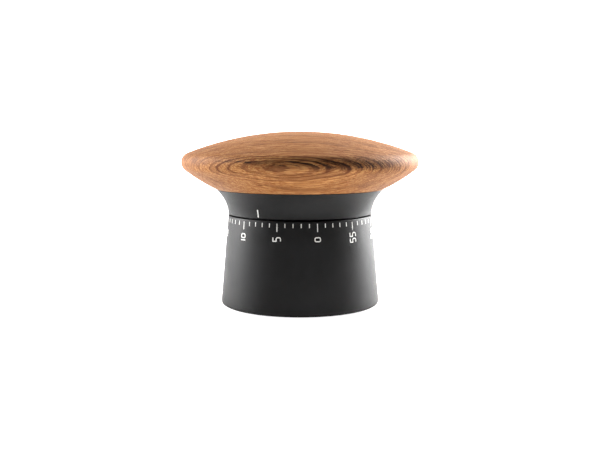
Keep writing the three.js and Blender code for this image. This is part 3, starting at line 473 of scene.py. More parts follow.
# Oak. The growth layers are cylinders round a pith that lies behind the cap, along x:
# d = length(y - y0, z - z0) + bow (x + shift)^2. The place within a layer gives early and late
# wood. A dark streak of heartwood follows the front rim: its middle lies at height + slope * x,
# it widens to the right, fades at both ends and is broken up by fine threads that run with the
# layers.
def makeOak():
    material, tree, shader, point = newMaterial("oiledOak", Specular_IOR_Level=0.12)
    look = oakLook
    long = scaled(tree, point, 0.03, 0.09, 0.09)
    warp = add(tree, "TexNoise", {"Vector": long, "Scale": 1.0, "Detail": 3.0}).outputs["Color"]
    shift = vectorCalc(tree, "SUBTRACT", warp, (0.5, 0.5, 0.5))
    bent = vectorCalc(tree, "MULTIPLY_ADD", shift, (0, 3.2, 3.2), point)
    fromPith = vectorCalc(tree, "SUBTRACT", bent, (0, *look["pith"]))
    distance = lengthOf(tree, scaled(tree, fromPith, 0, 1, 1))
    parts = add(tree, "SeparateXYZ", {0: point}).outputs
    x = calc(tree, "ADD", parts["X"], look["shift"])
    depth = calc(tree, "MULTIPLY_ADD", calc(tree, "MULTIPLY", x, x), look["bow"], distance)
    uneven = lineNoise(tree, calc(tree, "MULTIPLY", depth, 0.3))
    ring = calc(tree, "DIVIDE", depth, look["ringWidth"])
    ring = calc(tree, "MULTIPLY_ADD", uneven, 2.4, ring)
    share = calc(tree, "FRACT", ring)
    number = calc(tree, "FLOOR", ring)
    strength = add(tree, "TexWhiteNoise", {"W": number}, noise_dimensions="1D").outputs["Value"]
    late = calc(tree, "MULTIPLY", remap(tree, share, 0.45, 0.9), remap(tree, share, 0.92, 1.0, 1.0, 0.0))
    late = calc(tree, "MULTIPLY", late, remap(tree, strength, 0.0, 1.0, 0.15, 1.0, "LINEAR"))
    late = calc(tree, "MULTIPLY", late, remap(tree, parts["Z"], *look["faint"], 0.4, 1.0))

    height, slope = look["heart"]
    course = calc(tree, "MULTIPLY_ADD", parts["X"], slope, height)
    high = calc(tree, "ABSOLUTE", calc(tree, "SUBTRACT", parts["Z"], course))
    high = calc(tree, "DIVIDE", high, remap(tree, parts["X"], *look["heartWidth"]))
    ragged = noise(tree, scaled(tree, bent, 0.07, 0.9, 0.9), 1.0, 3.0, 0.6)
    high = calc(tree, "MULTIPLY_ADD", calc(tree, "SUBTRACT", ragged, 0.5), 1.8, high)
    start, full, fade, end = look["heartEnds"]
    heart = remap(tree, high, 0.35, 1.2, 1.0, 0.0)
    heart = calc(tree, "MULTIPLY", heart, remap(tree, parts["X"], start, full))
    heart = calc(tree, "MULTIPLY", heart, remap(tree, parts["X"], fade, end, 1.0, 0.15))
    heart = calc(tree, "MULTIPLY", heart, remap(tree, parts["Y"], -30.0, -5.0, 1.0, 0.0))

    streak = noise(tree, scaled(tree, bent, 0.045, 2.6, 2.6), 1.0, 5.0, 0.66)
    broad = noise(tree, scaled(tree, bent, 0.018, 0.3, 0.3), 1.0, 4.0, 0.6)
    early = calc(tree, "SUBTRACT", 1.0, remap(tree, share, 0.1, 0.55))
    cells = add(tree, "TexVoronoi", {"Vector": scaled(tree, bent, 0.32, 4.6, 4.6), "Scale": 1.0})
    pore = remap(tree, cells.outputs["Distance"], 0.22, 0.4, 1.0, 0.0)
    pore = calc(tree, "MULTIPLY", pore, calc(tree, "MULTIPLY_ADD", early, 0.7, 0.3))
    rays = add(tree, "TexVoronoi", {"Vector": scaled(tree, bent, 0.16, 0.5, 2.6), "Scale": 1.0})
    ray = remap(tree, rays.outputs["Distance"], 0.12, 0.26, 1.0, 0.0)

    base = mixed(tree, remap(tree, streak, 0.41, 0.59), look["pale"], look["middle"])
    base = mixed(tree, calc(tree, "MULTIPLY", remap(tree, broad, 0.45, 0.68), 0.5), base, look["late"])
    drift = calc(tree, "MULTIPLY_ADD", streak, 0.5, depth)
    fine = lineNoise(tree, calc(tree, "MULTIPLY", drift, 2.6), 3.0)
    base = mixed(tree, calc(tree, "MULTIPLY", remap(tree, fine, 0.5, 0.64), 0.6), base, look["late"])
    base = mixed(tree, calc(tree, "MULTIPLY", late, 0.88), base, look["late"])
    lines = remap(tree, fine, 0.42, 0.56, 0.3, 1.0)
    core = calc(tree, "MULTIPLY", heart, lines)
    base = mixed(tree, calc(tree, "MULTIPLY", core, 0.93), base, look["dark"])
    base = mixed(tree, calc(tree, "MULTIPLY", pore, 0.6), base, look["dark"])
    base = mixed(tree, calc(tree, "MULTIPLY", ray, 0.22), base, look["pale"])
    tree.links.new(base, shader.inputs["Base Color"])

    rough = calc(tree, "MULTIPLY_ADD", streak, 0.16, 0.54)
    rough = calc(tree, "MULTIPLY_ADD", pore, 0.2, rough)
    tree.links.new(rough, shader.inputs["Roughness"])
    relief = calc(tree, "MULTIPLY_ADD", pore, -1.0, calc(tree, "MULTIPLY", streak, 0.35))
    relief = calc(tree, "MULTIPLY_ADD", late, 0.25, relief)
    bumped(tree, shader, relief, 0.35, 0.0001)
    return material


blackLook = {
    "color": linear(13, 13, 14), "worn": linear(19, 19, 21), "grainSize": 0.22, "roughness": (0.41, 0.5),
}


# Satin black plastic with a fine sprayed grain and slow changes of gloss from handling.
def makeBlack():
    material, tree, shader, point = newMaterial("satinBlack", IOR=1.29)
    marks = useGroup(tree, grain, {"Vector": point, "Size": blackLook["grainSize"], "Blotch": 16.0})
    low, high = blackLook["roughness"]
    shade = remap(tree, marks["Shade"], 0.35, 0.7)
    colored(tree, shader, shade, blackLook["color"], blackLook["worn"])
    tree.links.new(remap(tree, marks["Shade"], 0.3, 0.7, low, high), shader.inputs["Roughness"])
    bumped(tree, shader, marks["Height"], 0.8, 0.00005)
    return material


# Printing ink: nearly white, a little thinner in places so that the black shows through.
def makeInk():
    material, tree, shader, point = newMaterial("whiteInk", Roughness=0.55)
    marks = useGroup(tree, grain, {"Vector": point, "Size": 0.3, "Blotch": 6.0})
    thin = remap(tree, marks["Height"], 0.5, 1.0)
    colored(tree, shader, thin, linear(206, 206, 203), linear(228, 228, 225))
    return material


def makeRubber():
    material, tree, shader, point = newMaterial("footRubber", IOR=1.5)
    marks = useGroup(tree, grain, {"Vector": point, "Size": 0.14, "Blotch": 3.0})
    colored(tree, shader, marks["Shade"], linear(22, 22, 22), linear(52, 50, 48))
    tree.links.new(remap(tree, marks["Shade"], 0.3, 0.7, 0.75, 0.95), shader.inputs["Roughness"])
    bumped(tree, shader, marks["Height"], 0.6, 0.00005)
    return material


# A metal: its colour shifts towards a second one where the surface has aged, lathe marks and
# fine scratches change its gloss and its normal.
def makeMetal(name, first, second, roughness, pitch, marksDepth=0.3):
    material, tree, shader, point = newMaterial(name, Metallic=1.0)
    point = ownCoordinates(tree)
    marks = useGroup(tree, turning, {"Vector": point, "Pitch": pitch})
    scratch = useGroup(tree, scratches, {"Vector": point, "Density": 0.5})
    aged = remap(tree, marks["Shade"], 0.45, 0.75)
    colored(tree, shader, aged, first, second)
    rough = remap(tree, marks["Height"], 0.2, 0.8, roughness[0], roughness[1])
    rough = calc(tree, "MULTIPLY_ADD", aged, 0.12, rough)
    rough = calc(tree, "MULTIPLY_ADD", scratch["Mask"], 0.15, rough)
    tree.links.new(rough, shader.inputs["Roughness"])
    height = calc(tree, "MULTIPLY_ADD", scratch["Mask"], -0.6, marks["Height"])
    bumped(tree, shader, height, marksDepth, 0.00002)
    return material


# Rolled sheet: the grain runs along x, and a few scratches cross it.
def makeSheet(name, first, second, roughness):
    material, tree, shader, point = newMaterial(name, Metallic=1.0)
    rolled = noise(tree, scaled(tree, point, 0.12, 7, 7), 1.0, 3.0, 0.65)
    slow = noise(tree, point, 0.12, 3.0)
    scratch = useGroup(tree, scratches, {"Vector": point, "Density": 0.8})
    colored(tree, shader, remap(tree, slow, 0.35, 0.7), first, second)
    rough = remap(tree, rolled, 0.3, 0.7, *roughness)
    tree.links.new(calc(tree, "MULTIPLY_ADD", scratch["Mask"], 0.12, rough), shader.inputs["Roughness"])
    height = calc(tree, "MULTIPLY_ADD", scratch["Mask"], -0.8, rolled)
    bumped(tree, shader, height, 0.3, 0.00002)
    return material


nickel, nickelDull = linear(196, 194, 190), linear(166, 165, 163)
brassBright, brassDull = linear(222, 184, 104), linear(176, 134, 68)
steelBright, steelDull = linear(178, 179, 182), linear(134, 134, 137)
blueBright, blueDull = linear(64, 76, 108), linear(92, 84, 82)
zincBright, zincDull = linear(190, 192, 196), linear(150, 150, 148)
bellBright, bellDull = linear(216, 212, 205), linear(188, 182, 172)

looks = {
    "oak": (makeOak(), "oiled_oak"),
    "black": (makeBlack(), "black_plastic"),
    "ink": (makeInk(), "black_plastic"),
    "rubber": (makeRubber(), "foot_rubber"),
    "screw": (makeMetal("zincScrews", zincBright, zincDull, (0.28, 0.42), 0.16), "zinc_screws"),
    "plate": (makeSheet("rolledPlate", nickel, nickelDull, (0.26, 0.4)), "plate_steel"),
    "arbor": (makeMetal("turnedSteel", steelBright, steelDull, (0.16, 0.3), 0.1), "arbor_steel"),
    "stamped": (makeSheet("stampedSteel", steelBright, steelDull, (0.3, 0.46)), "stamped_steel"),
    "brass": (makeMetal("turnedBrass", brassBright, brassDull, (0.2, 0.34), 0.14), "wheel_brass"),
    "bell": (makeMetal("bellNickel", bellBright, bellDull, (0.08, 0.16), 0.5, 0.12), "bell_chrome"),
    "spring": (makeSheet("blueSpring", blueBright, blueDull, (0.2, 0.32)), "spring_steel"),
}
print("finishes made")

# Every CAD node gets its slot's finish, also the ones that finer pieces replace below.
slotLooks = {slotName: material for key, (material, slotName) in looks.items() if key != "ink"}
slotOfNode = {row["node"]: row["material_slot"] for row in frame["record"]["subparts"]}
for name, slotName in slotOfNode.items():
    data = frame["nodes"][name].data
    data.materials.clear()
    data.materials.append(slotLooks[slotName])
print("finishes given to the CAD nodes")

# ---- the wooden cap

capShape = {
    "rimHeight": 10.75, "rimRadius": 4.0, "underRadius": 70.0, "lip": 0.15, "pocket": 29.3,
    "pocketDepth": 2.3, "pilot": 1.55, "pilotTop": 57.1, "pilotPoint": 1.0,
}
capBottom, capTop = span("wood_cap")
capRadius = 47.4
collarBottom, collarTop = span("collar")
seamHeight = capBottom - 0.1
seamRadius = reach("collar")


# A lens in section: a shallow dome, a rounded rim and a gently hollow underside, each arc tangent
# to the next, and a pocket for the collar below.
def capProfile():
    rim, under = capShape["rimRadius"], capShape["underRadius"]
    centre, rimZ = capRadius - rim, capBottom + capShape["rimHeight"]
    rise = capTop - rimZ
    dome = (centre ** 2 + rise ** 2 - rim ** 2) / (2 * (rise - rim))
    domeEnd = math.degrees(math.atan2(rimZ - (capTop - dome), centre))
    lip = seamRadius + capShape["lip"]
    across, up = centre - lip, rimZ - capBottom
    apart, toRim = math.hypot(across, up), under - rim
    along = (apart ** 2 + under ** 2 - toRim ** 2) / (2 * apart)
    off = math.sqrt(under ** 2 - along ** 2)
    middle = (lip + (along * across - off * up) / apart, capBottom + (along * up + off * across) / apart)
    start = math.degrees(math.atan2(rimZ - middle[1], centre - middle[0]))
    end = math.degrees(math.atan2(capBottom - middle[1], lip - middle[0]))
    outer = [
        arc((0, capTop - dome), dome, 90, domeEnd, 60),
        arc((centre, rimZ), rim, domeEnd, start, 28)[1:],
        arc(middle, under, start, end, 22)[1:-1],
    ]
    floor = capBottom + capShape["pocketDepth"]
    pocket = rounded([
        (lip + 0.12, capBottom + 0.12), (lip - 0.1, capBottom, 0.1), (capShape["pocket"], capBottom, 0.3),
        (capShape["pocket"], floor, 0.4), (0, floor),
    ])
    return np.concatenate(outer + [pocket])


# The lens is turned, and three blind holes take the screws from below.
def capPiece():
    c = capShape
    piece = rawObject("oakCap", [turned(capProfile())])
    places = [spot(f"cap_screw_{number}") for number in (1, 2, 3)]
    pilots = [plug(c["pilot"], collarTop - 4, c["pilotTop"], at, 48, c["pilotPoint"]) for at in places]
    return finished(combined(piece, pilots), ["wood_cap"])


capPiece()
print("cap made")

# ---- the collar under it, with its index mark

collarShape = {
    "waist": 28.985, "flare": 4.6, "wall": 2.0, "spigot": 28.985, "web": 2.2, "hub": 5.2, "bore": 3.5,
    "hubDrop": 8.0, "edge": 0.28, "tab": (26.585, 2.6, 1.2), "tabAngle": 58.8, "tabOverlap": 1.6,
    "screwHole": 1.6,
}


# Outside, the radius grows with the square of the height: r = waist + flare k^2.
def collarProfile():
    c = collarShape
    k = np.linspace(0, 1, 40)[1:-1]
    heights = collarBottom + (seamHeight - collarBottom) * k
    flare = np.stack([c["waist"] + c["flare"] * k ** 2, heights], axis=1)
    webTop, webBottom = collarTop, collarTop - c["web"]
    inner = c["waist"] - c["wall"]
    foot = rounded([
        (inner, collarBottom + 1), (inner, collarBottom, 0.2),
        (c["waist"], collarBottom, c["edge"]), flare[0],
    ])
    top = rounded([
        flare[-1], (c["waist"] + c["flare"], seamHeight, c["edge"]), (c["spigot"], seamHeight, 0.15),
        (c["spigot"], webTop, 0.25), (0, webTop),
    ])
    inside = rounded([
        (0, webBottom - 0.5), (c["bore"], webBottom - 0.5), (c["bore"], webBottom - c["hubDrop"], 0.15),
        (c["hub"], webBottom - c["hubDrop"], 0.3), (c["hub"], webBottom, 0.6), (inner, webBottom, 0.8),
        (inner, collarBottom + 1.2),
    ])
    return np.concatenate([foot, flare[1:-1], top, inside])


def collarPiece():
    c = collarShape
    piece = rawObject("flaredCollar", [turned(collarProfile())])
    places = [spot(f"cap_screw_{number}") for number in (1, 2, 3)]
    holes = [plug(c["screwHole"], collarTop - 3, collarTop + 1, at, 48) for at in places]
    outer, long, wide = c["tab"]
    webBottom = collarTop - c["web"]
    low = span("housing")[1] - c["tabOverlap"]
    start, end, half = outer - long, outer + 1, wide / 2
    outline = [(start, -half), (end, -half), (end, half), (start, half)]
    combined(piece, [stamped([outline], low, webBottom + 0.4, turn=c["tabAngle"], edge=0.12)], "UNION")
    combined(piece, holes)
    return finished(piece, ["collar"])


collarPiece()
print("collar made")

# ---- the housing

housingShape = {
    "waist": 28.985, "base": 32.085, "wall": 2.0, "deck": 2.3, "bore": 4.5, "edge": 1.1, "topEdge": 0.4,
    "ring": (26.585, 1.2, 0.9), "boss": 3.0, "bossFoot": 29.55, "screwHead": 2.1,
    "coverBoss": (3.2, 2.8, 11.7), "stop": (26.585, 2.6, 1.2), "stopAngle": 108, "screwHole": 1.1,
}
housingBottom = span("housing")[0]
deckTop = collarBottom - 0.6


def wallRadius(z):
    share = (deckTop - z) / (deckTop - housingBottom)
    return housingShape["waist"] + (housingShape["base"] - housingShape["waist"]) * share


def housingProfile():
    h = housingShape
    deckBottom = deckTop - h["deck"]
    ringOuter, ringWidth, ringHeight = h["ring"]
    inner = lambda z: wallRadius(z) - h["wall"]
    corners = [
        (inner(housingBottom + 0.3), housingBottom + 0.3), (inner(housingBottom) + 0.25, housingBottom),
        (wallRadius(housingBottom) - 0.2, housingBottom, h["edge"]),
        (wallRadius(housingBottom + 1.2), housingBottom + 1.2, 4),
        (wallRadius(housingBottom + 6), housingBottom + 6), (wallRadius(deckTop - 3), deckTop - 3),
        (wallRadius(deckTop), deckTop, h["topEdge"]), (ringOuter, deckTop, 0.1),
        (ringOuter, deckTop + ringHeight, 0.15), (ringOuter - ringWidth, deckTop + ringHeight, 0.15),
        (ringOuter - ringWidth, deckTop, 0.1), (h["bore"], deckTop, 0.2), (h["bore"], deckBottom, 0.2),
        (inner(deckBottom), deckBottom, 1.0), (inner(housingBottom + 5), housingBottom + 5),
    ]
    return rounded(corners, steps=8, closed=True)


def housingPiece():
    h = housingShape
    piece = rawObject("conicalHousing", [turned(housingProfile())])
    bosses, cuts, hole = [], [], h["screwHole"]
    for number in (1, 2, 3):
        at = spot(f"pillar_{number}")
        bosses.append(plug(h["boss"], h["bossFoot"], deckTop - 1, at))
        head = span(f"movement_screw_{number}")[1] - 1.1
        cuts.append(turned([
            (0, h["bossFoot"] - 1), (hole, h["bossFoot"] - 1), (hole, head), (h["screwHead"], head),
            (h["screwHead"], deckTop + 0.5), (0, deckTop + 0.5),
        ], at, 64))
        at = spot(f"cover_screw_{number}")
        radius, low, high = h["coverBoss"]
        corner = [(radius, high - 0.4), (radius - 0.4, high)]
        bosses.append(turned([(0, low), (radius, low), *corner, (0, high)], at, 64))
        cuts.append(plug(hole, low - 1, high - 1.2, at, 48, 0.3))
    outer, long, wide = h["stop"]
    outline = [(-long / 2, -wide / 2), (long / 2, -wide / 2), (long / 2, wide / 2), (-long / 2, wide / 2)]
    angle = h["stopAngle"]
    stop = stamped([outline], deckTop - 0.5, span("housing")[1], polar(outer - long / 2, angle), angle, 0.12)
    bosses.append(stop)
    combined(piece, bosses, "UNION")
    combined(piece, cuts)
    return finished(piece, ["housing"])


housingPiece()
print("housing made")

# ---- the printed scale

scale = {
    "zero": -77.1, "rest": 7.6, "start": 0.85, "minute": 1.6, "five": 3.1, "width": 0.33, "thickness": 0.03,
    "labelDrop": 6.8, "stroke": 0.4, "gap": 0.4, "middle": 1.05,
    "mark": (0.35, 3.0, 0.5),  # its distance from the collar's edge, its length and width
}

# Numerals as pen strokes in mm: rows of x, y and corner radius. Three, four and five reach
# further up and down than nought and two.
numerals = {
    "0": (1.5, [[(0, 1, 0), (0, 2.1, 0.62), (1.5, 2.1, 0.62), (1.5, 0, 0.62), (0, 0, 0.62), (0, 0.98, 0)]]),
    "1": (0.15, [[(0.08, -0.2, 0), (0.08, 2.3, 0)]]),
    "2": (1.45, [[
        (0.05, 2.1, 0), (1.4, 2.1, 0.5), (1.4, 1.1, 0.5), (0, 0.9, 0.5), (0, 0, 0.06), (1.55, 0, 0),
    ]]),
    "3": (1.4, [[
        (0, 2.55, 0), (1.4, 2.55, 0.1), (0.62, 1.3, 0.1), (1.4, 1.25, 0.6), (1.4, -0.45, 0.6), (0, -0.45, 0),
    ]]),
    "4": (1.5, [[(0.85, 2.75, 0), (0, 0.35, 0.08), (1.65, 0.35, 0)], [(1.15, 1.2, 0), (1.15, -0.65, 0)]]),
    "5": (1.4, [[
        (1.4, 2.55, 0), (0, 2.55, 0.08), (0, 1.25, 0.08),
        (1.4, 1.25, 0.62), (1.4, -0.45, 0.62), (0, -0.45, 0),
    ]]),
}


# A pen stroke: the path's points, each with a point at half the width to its left and right.
def ribbon(path, width):
    path = np.array(path, float)
    lengths = np.r_[0, np.cumsum(np.linalg.norm(np.diff(path, axis=0), axis=1))]
    keep = np.r_[True, np.diff(lengths) > 1e-6]
    path, lengths = path[keep], lengths[keep]
    even = np.unique(np.r_[lengths, np.arange(0, lengths[-1], 0.35)])
    path = np.stack([np.interp(even, lengths, path[:, i]) for i in (0, 1)], axis=1)
    ahead = np.diff(path, axis=0)
    ahead /= np.linalg.norm(ahead, axis=1)[:, None]
    left = np.stack([-ahead[:, 1], ahead[:, 0]], axis=1)
    both = np.concatenate([left[:1], left]) + np.concatenate([left, left[-1:]])
    both /= np.maximum((both ** 2).sum(axis=1) / 2, 0.5)[:, None]
    if np.linalg.norm(path[0] - path[-1]) < 1e-6:
        both[0] = both[-1] = (left[0] + left[-1]) / 2
    half = np.linspace(-1, 1, 3)[None, :, None] * width / 2
    return path[:, None] + both[:, None] * half


# Wraps flat patches onto the case: x runs round it from a bearing, y is the height. The patch
# stands proud by the ink's thickness and reaches as deep into the wall.
def wrapped(patch, bearingAngle, radiusAt, proud):
    rows, columns = patch.shape[:2]
    z = patch[..., 1]
    layers = []
    for lift in (proud, -scale["thickness"]):
        r = radiusAt(z) + lift
        a = math.radians(bearingAngle) + patch[..., 0] / radiusAt(z)
        layers.append(np.stack([r * np.cos(a), r * np.sin(a), z], axis=2).reshape(-1, 3))
    count = rows * columns
    top = gridFaces(rows, columns)
    bottom = [[v + count for v in f[::-1]] for f in top]
    rim = [i * columns for i in range(rows)] + [(rows - 1) * columns + j for j in range(1, columns)]
    rim += [i * columns + columns - 1 for i in range(rows - 2, -1, -1)]
    rim += list(range(columns - 2, 0, -1))
    walls = [[i, k, k + count, i + count] for i, k in zip(rim, rim[1:] + rim[:1])]
    return np.concatenate(layers), top + bottom + walls


def label(text, bearingAngle):
    parts, pen = [], 0.0
    widths = [numerals[c][0] for c in text]
    total = sum(widths) + (scale["gap"] + scale["stroke"]) * (len(text) - 1)
    for index, character in enumerate(text):
        for number, stroke in enumerate(numerals[character][1]):
            path = ribbon(rounded(stroke, steps=8), scale["stroke"])
            x, y = path[..., 0] + pen - total / 2, path[..., 1] - scale["middle"]
            upright = np.stack([-y, x + deckTop - scale["labelDrop"]], axis=2)
            parts.append(wrapped(upright, bearingAngle, wallRadius, scale["thickness"] + 0.004 * number))
        pen += widths[index] + scale["gap"] + scale["stroke"]
    return parts


def printedScale():
    parts = []
    top = deckTop - scale["start"]
    for minute in range(60):
        length = scale["five"] if minute % 5 == 0 else scale["minute"]
        tick = ribbon([(0, top), (0, top - length)], scale["width"])
        parts.append(wrapped(tick, scale["zero"] - 6 * minute, wallRadius, scale["thickness"]))
    for minute in range(0, 60, 5):
        parts += label(str(minute), scale["zero"] - 6 * minute)
    return made("dialPrint", parts, look="ink", body="root")


def indexMark():
    gap, length, width = scale["mark"]
    bottom = collarBottom + gap
    z = bottom + length * (1 - np.cos(np.linspace(0, np.pi, 25))) / 2
    ends = np.minimum(z - bottom, bottom + length - z) / (width / 2)
    half = width / 2 * np.sqrt(np.clip(1 - np.clip(1 - ends, 0, 1) ** 2, 0.0004, 1))
    patch = np.stack([half[:, None] * np.linspace(1, -1, 3), np.repeat(z[:, None], 3, axis=1)], axis=2)
    k = lambda h: (h - collarBottom) / (seamHeight - collarBottom)
    radiusAt = lambda h: collarShape["waist"] + collarShape["flare"] * k(h) ** 2
    shell = wrapped(patch, scale["zero"] - 6 * scale["rest"], radiusAt, scale["thickness"])
    return made("indexMark", [shell], look="ink", body="knob")


printedScale()
indexMark()
print("scale printed")

# ---- outlines for sheet pieces: rows of x and y in mm round the piece's own axis

def circle(radius, at=(0, 0), steps=48):
    return arc(at, radius, 0, 360, steps)[:-1]


def bar(start, end, width, steps=10):  # a straight bar with round ends
    heading = bearing(start, end)
    far = arc(end, width / 2, heading - 90, heading + 90, steps)
    return np.concatenate([far, arc(start, width / 2, heading + 90, heading + 270, steps)])


# Repeats rows of radius and angle round the circle, once for each tooth.
def repeated(teeth, r, a):
    a = a[None] + 2 * np.pi / teeth * np.arange(teeth)[:, None]
    r = np.repeat(r[None], teeth, axis=0)
    return np.stack([r * np.cos(a), r * np.sin(a)], axis=2).reshape(-1, 2)


# Each tooth is one flank and the same flank mirrored: rows of radius and share of the half pitch.
def toothed(teeth, flank):
    flank = np.array(flank, float)
    a = np.concatenate([-flank[:, 1], flank[::-1, 1]]) * np.pi / teeth
    return repeated(teeth, np.concatenate([flank[:, 0], flank[::-1, 0]]), a)


# Tooth flanks from root to tip: the height over the pitch circle in modules, and the share of
# the half pitch.
flanks = {
    "wheel": [
        (-1.25, 0.78), (-1.15, 0.6), (-0.9, 0.53), (-0.4, 0.45),
        (0, 0.38), (0.5, 0.29), (0.85, 0.21), (1.1, 0.09),
    ],
    "pinion": [(-1.4, 0.42), (-1.3, 0.28), (-0.7, 0.25), (0, 0.22), (0.35, 0.2), (0.55, 0.14), (0.6, 0.06)],
}


def gearOutline(gear, kind):
    module, teeth = gear["module"], gear[kind]
    return toothed(teeth, [(module * (teeth / 2 + high), share) for high, share in flanks[kind]])


# Pointed teeth that lean one way: a root, a blunt tip and the next root.
def pointedOutline(teeth, tip, depth, lean):
    blunt = 0.1
    rows = np.array([
        (tip - depth, -0.55 - lean), (tip - blunt, -0.14), (tip, -0.06),
        (tip, 0.06), (tip - blunt, 0.12), (tip - depth, 0.55 - lean),
    ])
    return repeated(teeth, rows[:, 0], rows[:, 1] * np.pi / teeth)


def windows(count, inner, outer, spoke):  # the openings between spokes, with rounded corners
    farSteps, nearSteps, cornerRadius = 16, 8, 0.35
    loops = []
    for i in range(count):
        middle, half = 360 * (i + 0.5) / count, 180 / count
        far, near = half - math.degrees(spoke / outer), half - math.degrees(spoke / inner)
        path = np.concatenate([
            arc((0, 0), outer, middle - far, middle + far, farSteps),
            arc((0, 0), inner, middle + near, middle - near, nearSteps),
        ])
        corner = np.zeros(len(path))
        corner[[0, farSteps, farSteps + 1, -1]] = cornerRadius
        loops.append(rounded(np.column_stack([path, corner]), steps=4, closed=True))
    return loops


def rod(steps, at=(0, 0), segments=40, edge=0.08):  # a turned rod: rows of radius and height, from below
    rows = [(0, steps[0][1])] + [(r, z, edge) for r, z in steps] + [(0, steps[-1][1])]
    return turned(rounded(rows, steps=3), at, segments)


def rodPiece(name, node, steps, at, segments=40):
    return made(name, [rod(steps, at, segments)], [node], at)


# ---- base cover and feet

coverShape = {
    "radius": 29.73, "edge": 0.2, "slots": 8, "slotReach": (6.0, 14.0), "slotWidth": 1.8,
    "grooves": (17.0, 22.0), "grooveWidth": 0.6, "grooveDepth": 0.25,
    "screwHole": 1.1, "screwSeat": (2.1, 0.6), "footSeat": (3.5, 0.5),
}


def baseCover():
    c = coverShape
    bottom, top = span("base_cover")
    start, end = c["slotReach"]
    loops = [circle(c["radius"], steps=192)]
    for i in range(c["slots"]):
        angle = 360 * i / c["slots"]
        loops.append(bar(polar(start, angle), polar(end, angle), c["slotWidth"], 12))
    loops += [circle(c["screwHole"], spot(f"cover_screw_{i}"), 32) for i in (1, 2, 3)]
    piece = rawObject("slottedCover", [stamped(loops, bottom, top, edge=c["edge"])])
    cuts = []
    for i in (1, 2, 3):
        for node, (radius, depth) in ((f"cover_screw_{i}", c["screwSeat"]), (f"foot_pad_{i}", c["footSeat"])):
            cuts.append(plug(radius, bottom - 1, bottom + depth, spot(node)))
    low, high = bottom - 0.5, bottom + c["grooveDepth"]
    for inner in c["grooves"]:
        outer = inner + c["grooveWidth"]
        cuts.append(turned([(inner, low), (outer, low), (outer, high), (inner, high)]))
    return finished(combined(piece, cuts), ["base_cover"])


footShape = {
    "radius": 3.4, "edge": 0.4, "sunk": 0.25, "ring": (0.9, 1.8), "groove": (2.1, 2.2), "ringSlope": 0.1,
}


# A rubber pad that stands on two rings, with a shallow groove between them.
def footPad(number):
    f = footShape
    node = f"foot_pad_{number}"
    bottom, top = span(node)
    at, slope, sunk = spot(node), f["ringSlope"], bottom + f["sunk"]
    (ringStart, ringEnd), (grooveEnd, outerStart) = f["ring"], f["groove"]
    profile = rounded([
        (0, sunk), (ringStart, sunk, slope), (ringStart + slope, bottom, slope),
        (ringEnd - slope, bottom, slope), (ringEnd, sunk, slope),
        (grooveEnd, sunk, slope), (outerStart, bottom, slope),
        (f["radius"], bottom, f["edge"]), (f["radius"], top, slope), (0, top),
    ])
    return made(f"rubberFoot{number}", [turned(profile, at, 96)], [node], at)


baseCover()
for number in (1, 2, 3):
    footPad(number)
print("base cover and feet made")

# ---- screws: the head's radius and height, the shank's radius, the drive and which way they point

screws = {
    "cover": {"head": 1.8, "headHeight": 0.6, "shank": 1.0, "cross": True, "up": True},
    "cap": {"head": 2.6, "headHeight": 1.4, "shank": 1.5, "cross": True, "up": True, "pitch": 1.0},
    "movement": {"head": 1.8, "headHeight": 1.0, "shank": 1.0, "cross": False, "up": False},
    "plate": {"head": 1.8, "headHeight": 1.0, "shank": 1.0, "cross": False, "up": True},
    "bell": {"head": 2.6, "headHeight": 1.0, "shank": 1.0, "cross": False, "up": True},
    "cock": {"head": 1.8, "headHeight": 1.0, "shank": 1.0, "cross": False, "up": False},
}
drive = {"width": 0.5, "depth": 0.5, "depthShare": 0.75, "crossReach": 0.66, "slotReach": 1.3}
thread = {"pitch": 0.5, "depth": 0.13}


# A screw between its node's lowest and highest point. One bar, or two that cross, cut the drive.
def screwPiece(kind, node, turn=0):
    size, at = screws[kind], spot(node)
    bottom, top = span(node)
    seat = bottom + size["headHeight"] if size["up"] else top - size["headHeight"]
    length = top - seat if size["up"] else seat - bottom
    shell = screwShell(
        size["head"], size["headHeight"], size["shank"], length,
        size.get("pitch", thread["pitch"]), thread["depth"] * size["shank"],
    )
    depth = min(drive["depth"], size["headHeight"] * drive["depthShare"])
    far = size["head"] * (drive["crossReach"] if size["cross"] else drive["slotReach"])
    half, low = drive["width"] / 2, size["headHeight"] - depth
    outline = [(-far, -half), (far, -half), (far, half), (-far, half)]
    blade = stamped([outline], low, size["headHeight"] + 1, edge=0.01)
    blades = [placed(blade, turn=quarter) for quarter in ((0, 90) if size["cross"] else (0,))]
    shell, *blades = [placed(s, at, seat, turn, size["up"]) for s in [shell] + blades]
    words = node.split("_")
    piece = rawObject(words[0] + "".join(w.capitalize() for w in words[1:]), [shell])
    return finished(combined(piece, blades), [node], at, sharp=40)


for kind in ("cover", "cap", "movement", "plate"):
    for number in (1, 2, 3):
        screwPiece(kind, f"{kind}_screw_{number}", 37 * number)
screwPiece("bell", "bell_screw", 20)
screwPiece("cock", "cock_screw", 65)
print("screws made")

# ---- the movement: plates, pillars, bell

train = {
    "main": {"module": 0.5, "wheel": 50, "pinion": 8},
    "second": {"module": 0.35, "wheel": 48, "pinion": 8},
    "third": {"module": 0.3, "wheel": 48, "pinion": 8},
}
movement = {
    "plateRadius": 23.49, "bore": 2.15, "lowBore": 2.3, "pivotHole": 0.65, "hammerHole": 0.95,
    "screwHole": 1.1, "arbor": 0.8, "pivot": 0.5, "shoulder": 0.2,
    "sink": [(1.35, -0.5), (1.1, 0), (0.72, 0.35)],  # an oil sink: radius and depth
}

